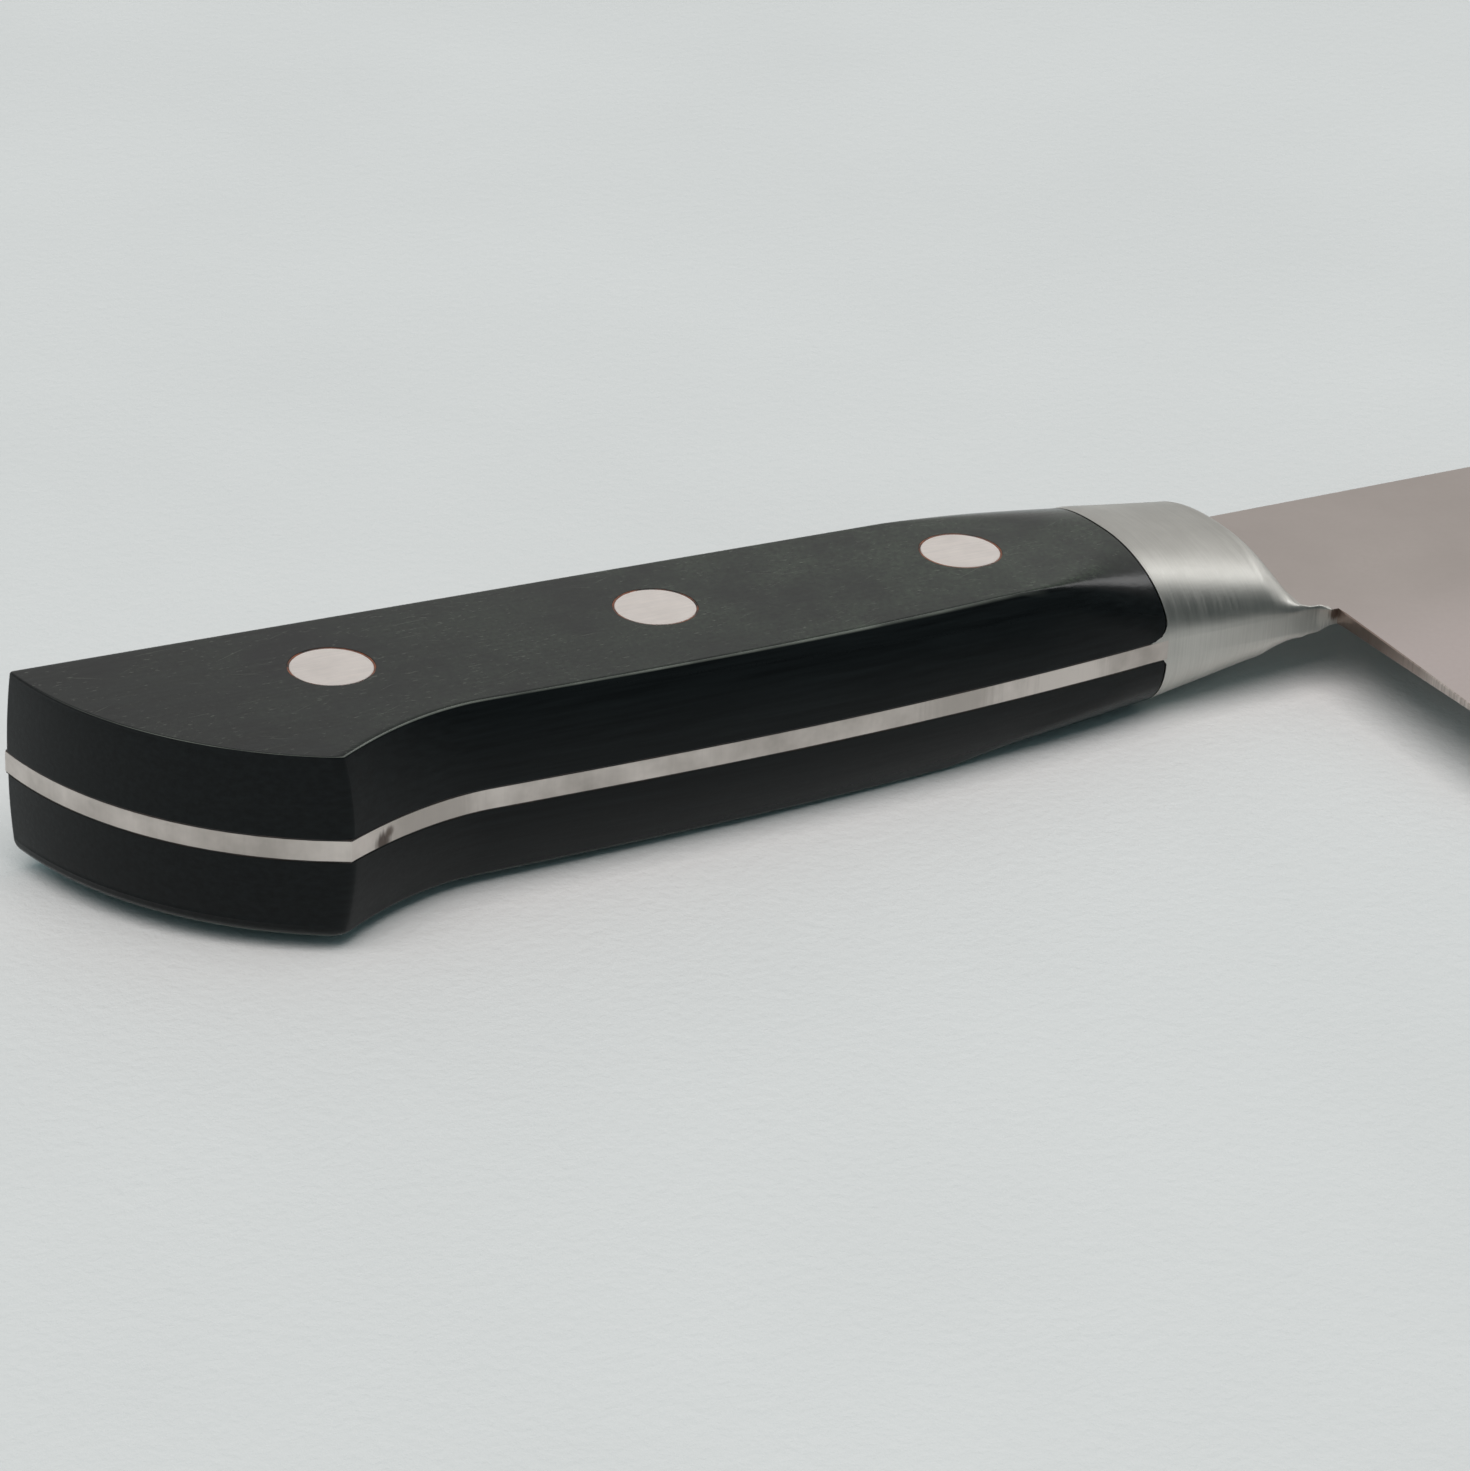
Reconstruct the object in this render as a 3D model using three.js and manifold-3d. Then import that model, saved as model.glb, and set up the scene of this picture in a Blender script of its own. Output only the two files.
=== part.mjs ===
// Western-handled gyuto knife, lying on its left side.
// One steel blank makes the blade and the full tang. Bolster halves are welded to its faces.
// Two scales are bedded on the tang in adhesive and clamped by three two-piece rivets.
// Knife axes: X runs from the joint of scales and bolster towards the point, Y towards the spine, Z up.
// The rivet axis is Y = 0 and the middle plane of the blank is Z = 0. Lengths are in millimetres.

import * as THREE from 'three';
import { mergeVertices } from 'three/addons/utils/BufferGeometryUtils.js';
import Module from 'manifold-3d';

const wasm = await Module();
wasm.setup();

// Handle outline, seen from the side
const handleLength = 100; // joint to the spine corner of the butt
const jointRise = 10.4; // rivet axis to the spine edge of the tang at the joint
const buttRise = 9.8; // the same at the butt
const hookSetback = 19.3; // spine corner of the butt to its belly corner, along the handle
const hookDrop = 16.2; // rivet axis to the belly corner
const buttBow = 4.2; // how far the butt bows out between its corners
const hookLength = 13.7; // belly corner to the waist
const waistDrop = 12.4; // rivet axis to the belly at the waist
const gripBulge = 0.8; // swell of the belly between waist and joint
const jointDrop = 10.9; // rivet axis to the belly at the joint
const hookPower = 1.8; // how late the belly turns down into the hook
const gripPower = 3; // how late the belly rises to the joint

// Handle section
const buttThickness = 16.6; // across the two flats at the butt
const frontThickness = 15.2; // across the planes of the flats, carried on to the joint
const bellyInset = 2.2; // belly edge of a flat, behind the tang edge
const hookInset = 1; // the same at the hook corner
const buttInset = 0.25; // the same at the butt
const spineInsetButt = 0.3; // the same along the spine, at the butt
const spineInsetFront = 3.2; // the same along the spine, at the joint
const flatEnd = 18; // joint to where the flats begin to round off

// Bolster
const bolsterLength = 17.8; // joint to choil
const bolsterThickness = 14.6; // at the joint
const shoulderThickness = 12; // where the front slope begins
const slopeLength = 7.3; // that place to the choil
const bolsterSetback = 0.4; // how far the front slope ends behind the choil at the belly
const bolsterToe = 0.15; // thickness left where the front slope runs out
const bellyRound = 2.2; // power of the oval on the belly side: 2 is an ellipse, more is squarer
const spineRound = 3.6; // the same on the spine side
const ovalShoulder = 0.62; // half width where the top of the oval turns into its wall, as a share
const filletRadius = 2.4; // root of the bolster on the tang

// Blade
const bladeLength = 240; // choil to point
const heelHeight = 49; // spine to cutting edge at the heel
const bladeSpineRise = 10; // rivet axis to the spine of the blade
const choilDrop = 11.1; // rivet axis to the top of the choil
const blankThickness = 1.8; // tang, and blade at the heel
const pointThickness = 0.8; // blade at the point
const edgeThickness = 0.2; // land of the cutting edge
const pointDrop = 27; // spine line to point
const spineStraight = 80; // choil to where the spine begins to fall
const edgeStraight = 60; // heel to where the cutting edge begins to rise
const spinePower = 2.2; // how late the spine falls
const edgePower = 2.5; // how late the edge rises
const grindShare = 0.85; // part of the blade height that is ground
const grindPower = 1.5; // how convex the grind is
const grindRunOut = 4; // length over which the grind fades behind the choil
const grindLift = 0.2; // height of the grinding solid over the face where it begins

// Rivets
const shankDiameter = 3.4; // pin of the male half
const barrelWall = 0.7; // tube of the female half
const headLip = 1; // head beyond the tube
const headThickness = 1.6;
const frontSetback = 15.2; // joint to the front rivet
const rearSetback = 24.8; // rear rivet to the spine corner of the butt

// Fits
const adhesiveThickness = 0.15;
const rivetClearance = 0.15; // around heads and barrels
const shankClearance = 0.1; // male half in female half
const jointGap = 0.15; // scale to bolster, and head to seat

// Fineness of the meshes
const handleSteps = 28; // along a scale
const acrossSteps = 8; // across a scale or a bolster half
const wallSteps = 7; // up their walls
const bolsterSteps = 12; // along a bolster half
const bladeSteps = 30; // along the blade
const grindSteps = 7; // across its grind
const roundSteps = 32; // round a rivet
const bowFade = 4; // how soon the round of the butt fades from the rows ahead of it
const cutMargin = 3; // how far a cutting solid reaches past what it cuts

const { lerp, clamp, smoothstep } = THREE.MathUtils;
const blankHalf = blankThickness / 2;
const bolsterHeight = bolsterThickness / 2;
const scaleBase = blankHalf + adhesiveThickness;
const shoulderX = bolsterLength - slopeLength;
const waistX = hookLength + hookSetback - handleLength;
const pointX = bolsterLength + bladeLength;
const pointY = bladeSpineRise - pointDrop;
const heelY = bladeSpineRise - heelHeight;
const shankRadius = shankDiameter / 2;
const boreRadius = shankRadius + shankClearance;
const barrelRadius = boreRadius + barrelWall;
const headRadius = barrelRadius + headLip;

// Height of a flat, or of its plane, above the middle plane.
const flatHeight = (x) => lerp(frontThickness, buttThickness, -x / handleLength) / 2;

// Rows of points crowd towards the tang, where the root of the bolster is. Level 0 is the tang, 1 the flat.
const levelOf = (depth) => depth ** 2;

// Walls of the handle swell: their inset grows with the square of the level.
const swell = (level) => level ** 2;

// Round of the butt at the tang, through both corners.
function buttRound() {
  const spine = new THREE.Vector2(-handleLength, buttRise);
  const belly = new THREE.Vector2(hookSetback - handleLength, -hookDrop);
  const chord = belly.clone().sub(spine);
  const radius = chord.lengthSq() / (8 * buttBow) + buttBow / 2;
  const inward = new THREE.Vector2(-chord.y, chord.x).setLength(radius - buttBow);
  const centre = spine.clone().lerp(belly, 1 / 2).add(inward);
  return { centre, radius };
}

const butt = buttRound();

// Back end of the handle at a height above the rivet axis.
function buttX(y, level) {
  const radius = butt.radius - buttInset * swell(level);
  return butt.centre.x - Math.sqrt(radius ** 2 - (y - butt.centre.y) ** 2);
}

function hookCorner(level) {
  const y = -hookDrop + hookInset * swell(level);
  return new THREE.Vector2(buttX(y, level), y);
}

function spineEdge(x, level) {
  const reach = -x / handleLength;
  return lerp(jointRise, buttRise, reach) - lerp(spineInsetFront, spineInsetButt, reach) * swell(level);
}

function spineCorner(level) {
  const y = spineEdge(-handleLength, level);
  return new THREE.Vector2(buttX(y, level), y);
}

// Belly of the handle: a gentle swell from the joint to the waist, then the hook.
function bellyEdge(x, level) {
  const inset = bellyInset * swell(level);
  if (x >= waistX) {
    const run = 1 - x / waistX;
    return inset - lerp(waistDrop, jointDrop, run ** gripPower) - gripBulge * Math.sin(Math.PI * run);
  }
  const corner = hookCorner(level);
  const run = (waistX - x) / (waistX - corner.x);
  return lerp(inset - waistDrop, corner.y, run ** hookPower);
}

// Plan of the handle: along runs from butt (0) to front (1), across from belly (0) to spine (1).
function handlePlan(along, across, level, front) {
  const belly = hookCorner(level);
  const spine = spineCorner(level);
  const buttY = lerp(belly.y, spine.y, across);
  const bow = buttX(buttY, level) - lerp(belly.x, spine.x, across);
  const bellyX = lerp(belly.x, front, along);
  const spineX = lerp(spine.x, front, along);
  const x = lerp(bellyX, spineX, across) + bow * (1 - along) ** bowFade;
  const y = lerp(bellyEdge(bellyX, level), spineEdge(spineX, level), across);
  return new THREE.Vector2(x, y);
}

// Half an oval section between two edges, standing on a flat base.
function ovalSection(low, high, height, base, across, level) {
  const side = 2 * across - 1;
  const power = side < 0 ? bellyRound : spineRound;
  const round = (share) => (1 - Math.abs(share) ** power) ** (1 / power);
  const shoulderZ = height * round(ovalShoulder);
  const wall = round(lerp(base, shoulderZ, level) / height);
  const top = height * round(ovalShoulder * side);
  return { y: (low + high) / 2 + (side * wall * (high - low)) / 2, z: lerp(base, top, level) };
}

// Back face of the bolster: upright, with a hollow root on the tang.
function bolsterBack(z) {
  const rise = filletRadius - (z - blankHalf);
  return rise > 0 ? Math.sqrt(filletRadius ** 2 - rise ** 2) - filletRadius : 0;
}

// One point on a scale. The flat section with barrelled walls turns into the oval of the bolster.
function scalePoint(along, across, depth) {
  const level = levelOf(depth);
  const blend = (front) => {
    const plan = handlePlan(along, across, level, front);
    const share = smoothstep(plan.x, -flatEnd, 0);
    const low = bellyEdge(Math.max(plan.x, waistX), 0);
    const oval = ovalSection(low, spineEdge(plan.x, 0), bolsterHeight, scaleBase, across, level);
    const y = lerp(plan.y, oval.y, share);
    const z = lerp(lerp(scaleBase, flatHeight(plan.x), level), oval.z, share);
    return new THREE.Vector3(plan.x, y, z);
  };
  return blend(bolsterBack(blend(0).z) - jointGap);
}

// One point on a bolster half: the joint's oval, sloping down to the blade ahead.
function bolsterPoint(along, across, depth) {
  const level = levelOf(depth);
  const front = bolsterLength - lerp(bolsterSetback, 0, across);
  const slope = (x) => {
    const share = x / bolsterLength;
    const low = lerp(-jointDrop, -choilDrop, share);
    const high = lerp(jointRise, bladeSpineRise, share);
    const height = lerp(bolsterThickness, shoulderThickness, Math.min(x / shoulderX, 1)) / 2;
    const oval = ovalSection(low, high, height, blankHalf, across, level);
    const fall = (1 + Math.cos(Math.PI * clamp((x - shoulderX) / (front - shoulderX), 0, 1))) / 2;
    const toe = blankHalf + bolsterToe * level;
    return new THREE.Vector3(x, oval.y, lerp(toe, oval.z, fall));
  };
  const back = bolsterBack(slope(along * front).z);
  return slope(lerp(back, front, along));
}

function bladeSpine(x) {
  const run = clamp((x - bolsterLength - spineStraight) / (bladeLength - spineStraight), 0, 1);
  return lerp(bladeSpineRise, pointY, run ** spinePower);
}

function bladeEdge(x) {
  const run = clamp((x - bolsterLength - edgeStraight) / (bladeLength - edgeStraight), 0, 1);
  return lerp(heelY, pointY, run ** edgePower);
}

// Half thickness of the ground blade: thinner towards the point, convex towards the edge.
function bladeHalf(x, y) {
  const back = lerp(blankHalf, pointThickness / 2, clamp((x - bolsterLength) / bladeLength, 0, 1));
  const ground = Math.max(grindShare * (bladeSpine(x) - bladeEdge(x)), edgeThickness);
  const depth = clamp(1 - (y - bladeEdge(x)) / ground, 0, 1);
  return lerp(back, edgeThickness / 2, depth ** grindPower);
}

// One point of the solid that the grind takes off one face.
function grindPoint(along, across, depth) {
  const start = bolsterLength - grindRunOut;
  const step = Math.round(along * bladeSteps);
  const x = step === 0 ? start : lerp(bolsterLength, pointX + cutMargin, (step - 1) / (bladeSteps - 1));
  const y = lerp(bladeEdge(x) - cutMargin, bladeSpine(x) + cutMargin, across);
  const fade = clamp((x - start) / grindRunOut, 0, 1);
  const face = lerp(blankHalf + grindLift, bladeHalf(x, y), fade);
  return new THREE.Vector3(x, y, lerp(face, blankHalf + cutMargin, depth));
}

// A unit box with one corner at the origin, its points moved by a function and turned over for the left side.
function warpedBox(steps, point, left) {
  const geometry = new THREE.BoxGeometry(1, 1, 1, ...steps).translate(1 / 2, 1 / 2, 1 / 2);
  const places = geometry.getAttribute('position');
  for (let i = 0; i < places.count; i += 1) {
    const spot = point(places.getX(i), places.getY(i), places.getZ(i));
    places.setXYZ(i, spot.x, spot.y, left ? -spot.z : spot.z);
  }
  if (left) {
    geometry.index.array.reverse();
  }
  return geometry;
}

function toSolid(geometry) {
  const bare = geometry.clone();
  bare.deleteAttribute('normal');
  bare.deleteAttribute('uv');
  const merged = mergeVertices(bare);
  const vertProperties = new Float32Array(merged.getAttribute('position').array);
  const triVerts = new Uint32Array(merged.index.array);
  return new wasm.Manifold(new wasm.Mesh({ numProp: 3, vertProperties, triVerts }));
}

function toGeometry(solid) {
  const { vertProperties, triVerts } = solid.getMesh();
  const geometry = new THREE.BufferGeometry();
  geometry.setAttribute('position', new THREE.BufferAttribute(vertProperties, 3));
  geometry.setIndex(new THREE.BufferAttribute(triVerts, 1));
  geometry.computeVertexNormals();
  return geometry;
}

// A turned solid on the rivet axis, from [radius, height] pairs that run from axis to axis, bottom to top.
function turned(pairs) {
  const profile = pairs.map(([radius, height]) => new THREE.Vector2(radius, height));
  return new THREE.LatheGeometry(profile, roundSteps).rotateX(Math.PI / 2);
}

const rivetPlaces = ['front', 'middle', 'rear'].map((name, i, names) => {
  const share = i / (names.length - 1);
  return { name, x: lerp(-frontSetback, rearSetback - handleLength, share) };
});

// Outer face of a rivet head: flush with the lowest point of the scale around it.
function headTop(x) {
  const front = x + headRadius;
  return lerp(flatHeight(front), bolsterHeight, smoothstep(front, -flatEnd, 0));
}

// Rim of the handle at the tang, from the belly round the butt to the spine, cut off square at a front.
function handleRim(front) {
  const steps = Array.from({ length: handleSteps + 1 }, (_, i) => i / handleSteps);
  const across = Array.from({ length: acrossSteps + 1 }, (_, i) => i / acrossSteps);
  const belly = steps.map((s) => handlePlan(1 - s, 0, 0, front));
  const back = across.slice(1, -1).map((s) => handlePlan(0, s, 0, front));
  const spine = steps.map((s) => handlePlan(s, 1, 0, front));
  return [...belly, ...back, ...spine];
}

function withRivetHoles(shape) {
  for (const { x } of rivetPlaces) {
    shape.holes.push(new THREE.Path().absarc(x, 0, barrelRadius + rivetClearance, 0, 2 * Math.PI));
  }
  return shape;
}

// Blank: tang rim, bolster belly, choil, cutting edge, point and spine.
function blankShape() {
  const runs = Array.from({ length: bladeSteps + 1 }, (_, i) => i / bladeSteps);
  const bladeX = (run) => lerp(bolsterLength, pointX, run);
  const spine = runs.map((s) => new THREE.Vector2(bladeX(s), bladeSpine(bladeX(s))));
  const edge = runs.slice(0, -1).reverse().map((s) => new THREE.Vector2(bladeX(s), bladeEdge(bladeX(s))));
  const choil = new THREE.Vector2(bolsterLength, -choilDrop);
  return withRivetHoles(new THREE.Shape([...handleRim(0), ...spine, ...edge, choil]));
}

function bladeAndTang() {
  const blank = new THREE.ExtrudeGeometry(blankShape(), { depth: blankThickness, bevelEnabled: false });
  const steps = [bladeSteps, grindSteps, 1];
  const right = toSolid(warpedBox(steps, grindPoint, false));
  const left = toSolid(warpedBox(steps, grindPoint, true));
  return toGeometry(toSolid(blank.translate(0, 0, -blankHalf)).subtract(right).subtract(left));
}

function bolster(left) {
  return warpedBox([bolsterSteps, acrossSteps, wallSteps], bolsterPoint, left);
}

function adhesive(left) {
  const front = -filletRadius - jointGap;
  const shape = withRivetHoles(new THREE.Shape(handleRim(front)));
  const bed = new THREE.ExtrudeGeometry(shape, { depth: adhesiveThickness, bevelEnabled: false });
  return bed.translate(0, 0, left ? -scaleBase : blankHalf);
}

// Stepped hole for one rivet: barrel below, head above.
function rivetHole(x, left) {
  const seat = headTop(x) - headThickness - jointGap;
  const barrel = barrelRadius + rivetClearance;
  const head = headRadius + rivetClearance;
  const end = flatHeight(x) + cutMargin;
  const hole = turned([[0, 0], [barrel, 0], [barrel, seat], [head, seat], [head, end], [0, end]]);
  return toSolid((left ? hole.rotateX(Math.PI) : hole).translate(x, 0, 0));
}

function scale(left) {
  const body = toSolid(warpedBox([handleSteps, acrossSteps, wallSteps], scalePoint, left));
  const holes = rivetPlaces.map(({ x }) => rivetHole(x, left));
  return toGeometry(holes.reduce((solid, hole) => solid.subtract(hole), body));
}

// Male half: head under the left scale's face, pin up through the tang.
function rivetMale(x) {
  const top = headTop(x);
  const under = top - headThickness;
  const end = under - jointGap;
  const head = [[0, -top], [headRadius, -top], [headRadius, -under]];
  return turned([...head, [shankRadius, -under], [shankRadius, end], [0, end]]).translate(x, 0, 0);
}

// Female half: head in the right scale's face, tube down over the pin.
function rivetFemale(x) {
  const top = headTop(x);
  const under = top - headThickness;
  const mouth = jointGap - under;
  const bore = [[0, under], [boreRadius, under], [boreRadius, mouth]];
  const tube = [...bore, [barrelRadius, mouth], [barrelRadius, under]];
  return turned([...tube, [headRadius, under], [headRadius, top], [0, top]]).translate(x, 0, 0);
}

const finishes = {
  blade: { color: 0xa79c98, metalness: 1, roughness: 0.42 },
  bolster: { color: 0xb4b0ab, metalness: 1, roughness: 0.3 },
  scale: { color: 0x2b2c2a, metalness: 0, roughness: 0.45 },
  adhesive: { color: 0x3a2a20, metalness: 0, roughness: 0.6 },
  rivet: { color: 0xc9bfbb, metalness: 1, roughness: 0.35 },
};

function piece(name, geometry, finish) {
  const mesh = new THREE.Mesh(geometry, new THREE.MeshStandardMaterial(finishes[finish]));
  mesh.name = name;
  return mesh;
}

// The whole knife, set down so that the origin is under the middle of its outline.
function knife() {
  const group = new THREE.Group();
  group.add(piece('blade_and_tang', bladeAndTang(), 'blade'));
  for (const [side, left] of [['right', false], ['left', true]]) {
    group.add(piece(`bolster_${side}`, bolster(left), 'bolster'));
    group.add(piece(`adhesive_${side}`, adhesive(left), 'adhesive'));
    group.add(piece(`scale_${side}`, scale(left), 'scale'));
  }
  for (const { name, x } of rivetPlaces) {
    group.add(piece(`rivet_${name}_male`, rivetMale(x), 'rivet'));
    group.add(piece(`rivet_${name}_female`, rivetFemale(x), 'rivet'));
  }
  const box = new THREE.Box3().setFromObject(group, true);
  const middle = box.getCenter(new THREE.Vector3());
  group.position.set(-middle.x, -middle.y, -box.min.z);
  return group;
}

export default knife();
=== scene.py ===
"""Dresses a western-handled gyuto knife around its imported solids.

Sizes are millimetres in the knife's own axes. X runs from the joint of scales and bolster to the
point, Y from the cutting edge to the spine, and Z up from the middle of the steel blank. The rivets
stand on the line Y = 0. The knife lies on its left side, so its right side is the upper one.
"""

import logging
import math
from dataclasses import dataclass, field, replace
from enum import Enum
from typing import Any, Mapping, Sequence

import bmesh
import bpy
import numpy as np
from mathutils import Matrix, Vector

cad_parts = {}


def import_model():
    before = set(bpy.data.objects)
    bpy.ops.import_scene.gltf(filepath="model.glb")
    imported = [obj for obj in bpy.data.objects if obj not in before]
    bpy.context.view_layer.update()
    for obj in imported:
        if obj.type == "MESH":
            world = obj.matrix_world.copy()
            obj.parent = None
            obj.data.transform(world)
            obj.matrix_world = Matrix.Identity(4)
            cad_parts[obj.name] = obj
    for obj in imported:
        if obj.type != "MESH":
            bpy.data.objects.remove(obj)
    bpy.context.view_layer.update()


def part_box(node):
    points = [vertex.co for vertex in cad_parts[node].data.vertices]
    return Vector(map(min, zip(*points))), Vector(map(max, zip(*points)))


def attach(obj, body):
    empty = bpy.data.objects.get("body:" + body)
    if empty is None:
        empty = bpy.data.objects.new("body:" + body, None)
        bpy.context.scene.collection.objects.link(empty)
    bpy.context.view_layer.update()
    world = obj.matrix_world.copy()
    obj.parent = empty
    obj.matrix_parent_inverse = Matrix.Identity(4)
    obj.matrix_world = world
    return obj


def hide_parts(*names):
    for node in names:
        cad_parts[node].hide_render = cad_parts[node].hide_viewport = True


MM = 0.001
BODY = "root"
IMAGE_LONG_SIDE = 1471
SENSOR_WIDTH = 36.0
# In metres: where the camera's view starts, and how close points are welded.
CLIP_START = 0.01
WELD = 1e-6
SHARP_ANGLE = math.radians(35)
# The sockets of a mix node that mixes colours.
MIX_FACTOR, MIX_A, MIX_B, MIX_RESULT = 0, 6, 7, 2
# The places of the blank's finishes in its list.
FACE, GROUND, SATIN, COARSE = range(4)
# Half the thickness of the steel, and where its resin bed ends and a scale begins.
BLANK_HALF = 0.9
BED_TOP = 1.05
# The radius of the holes for the rivets' barrels, and X of each rivet.
BARREL_BORE = 2.65
RIVET_PLACES = {"front": -15.2, "middle": -45.2, "rear": -75.2}

log = logging.getLogger("gyuto")


class Side(Enum):
    """The two flanks of the knife, by the sign of Z."""

    RIGHT = 1
    LEFT = -1

    @property
    def word(self) -> str:
        """The side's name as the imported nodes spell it."""
        return self.name.lower()

    @property
    def flip(self) -> np.ndarray:
        """What turns points of the right side into points of this one."""
        return np.array([1, 1, self.value])


class RivetHalf(Enum):
    """The two turned parts of a rivet."""

    FEMALE = "female"
    MALE = "male"

    @property
    def side(self) -> Side:
        """The side that the half's head is on."""
        return Side.RIGHT if self is RivetHalf.FEMALE else Side.LEFT


def lerp(start: Any, end: Any, share: Any) -> Any:
    """The value a share of the way from start to end."""
    return start + (end - start) * share


def through(belly: float, middle: float, spine: float, share: Any) -> Any:
    """A smooth run of values through three that stand at shares 0, a half and 1."""
    ends = belly * (1 - share) * (1 - 2 * share) + spine * share * (2 * share - 1)
    return ends + 4 * middle * share * (1 - share)


def smoothstep(value: Any, low: float, high: float) -> Any:
    """A smooth climb from 0 at low to 1 at high."""
    share = np.clip((np.asarray(value, float) - low) / (high - low), 0, 1)
    return share * share * (3 - 2 * share)


def ramp(value: Any, low: float, high: float, ease: float) -> Any:
    """A straight climb from 0 at low to 1 at high, eased in over its first share."""
    share = np.clip((np.asarray(value, float) - low) / (high - low), 0, 1)
    return np.where(share < ease, share * share / (2 * ease), share - ease / 2) / (1 - ease / 2)


def linear(hex_colour: str) -> tuple[float, float, float, float]:
    """Turns an sRGB hex colour into linear light.

    Args:
        hex_colour: Six hex digits after a hash.

    Returns:
        Linear red, green and blue, and an alpha of 1.
    """
    channels = [int(hex_colour[at:at + 2], 16) / 255 for at in (1, 3, 5)]
    light = [c / 12.92 if c <= 0.04045 else ((c + 0.055) / 1.055) ** 2.4 for c in channels]
    return (light[0], light[1], light[2], 1.0)


def feed(node: bpy.types.Node, feeds: Mapping[Any, Any]) -> None:
    """Gives a node's inputs their values and links.

    Args:
        node: The node.
        feeds: A value or another node's output for each input, by name or number.
    """
    for key, value in feeds.items():
        if isinstance(value, bpy.types.NodeSocket):
            node.id_data.links.new(value, node.inputs[key])
        else:
            node.inputs[key].default_value = value


def add_node(
    tree: bpy.types.NodeTree, kind: str, feeds: Mapping[Any, Any], out: int | str = 0, **settings: Any
) -> bpy.types.NodeSocket:
    """Adds a node with its settings, values and links.

    Args:
        tree: The node tree that takes it.
        kind: Blender's type name for the node, after ShaderNode.
        feeds: A value or another node's output for each input, by name or number.
        out: The output that is wanted, by name or number.
        **settings: The node's own properties.

    Returns:
        The node's output.
    """
    made = tree.nodes.new("ShaderNode" + kind)
    for key, value in settings.items():
        setattr(made, key, value)
    feed(made, feeds)
    return made.outputs[out]


def start_material(name: str) -> tuple[bpy.types.Material, bpy.types.Node, bpy.types.NodeSocket]:
    """Starts a material on Blender's principled shader.

    Args:
        name: The material's name.

    Returns:
        The material, its shader, and the place on the knife in millimetres.
    """
    material = bpy.data.materials.new(name)
    material.use_nodes = True
    tree = material.node_tree
    place = add_node(tree, "TexCoord", {}, "Object")
    scaled = add_node(tree, "VectorMath", {0: place, "Scale": 1 / MM}, operation="SCALE")
    return material, tree.nodes["Principled BSDF"], scaled


def lay_colours(
    tree: bpy.types.NodeTree, under: str, layers: Sequence[tuple[str, Sequence[Any]]]
) -> bpy.types.NodeSocket:
    """Lays colours over one another.

    Args:
        tree: The node tree.
        under: The colour under them all.
        layers: Each colour, and the masks whose product says how far it covers.

    Returns:
        The colour that shows.
    """
    shown: Any = linear(under)
    for colour, masks in layers:
        share = masks[0]
        for mask in masks[1:]:
            share = add_node(tree, "Math", {0: share, 1: mask}, operation="MULTIPLY")
        shown = add_node(tree, "Mix", {
            MIX_FACTOR: share, MIX_A: shown, MIX_B: linear(colour),
        }, MIX_RESULT, data_type="RGBA")
    return shown


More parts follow.
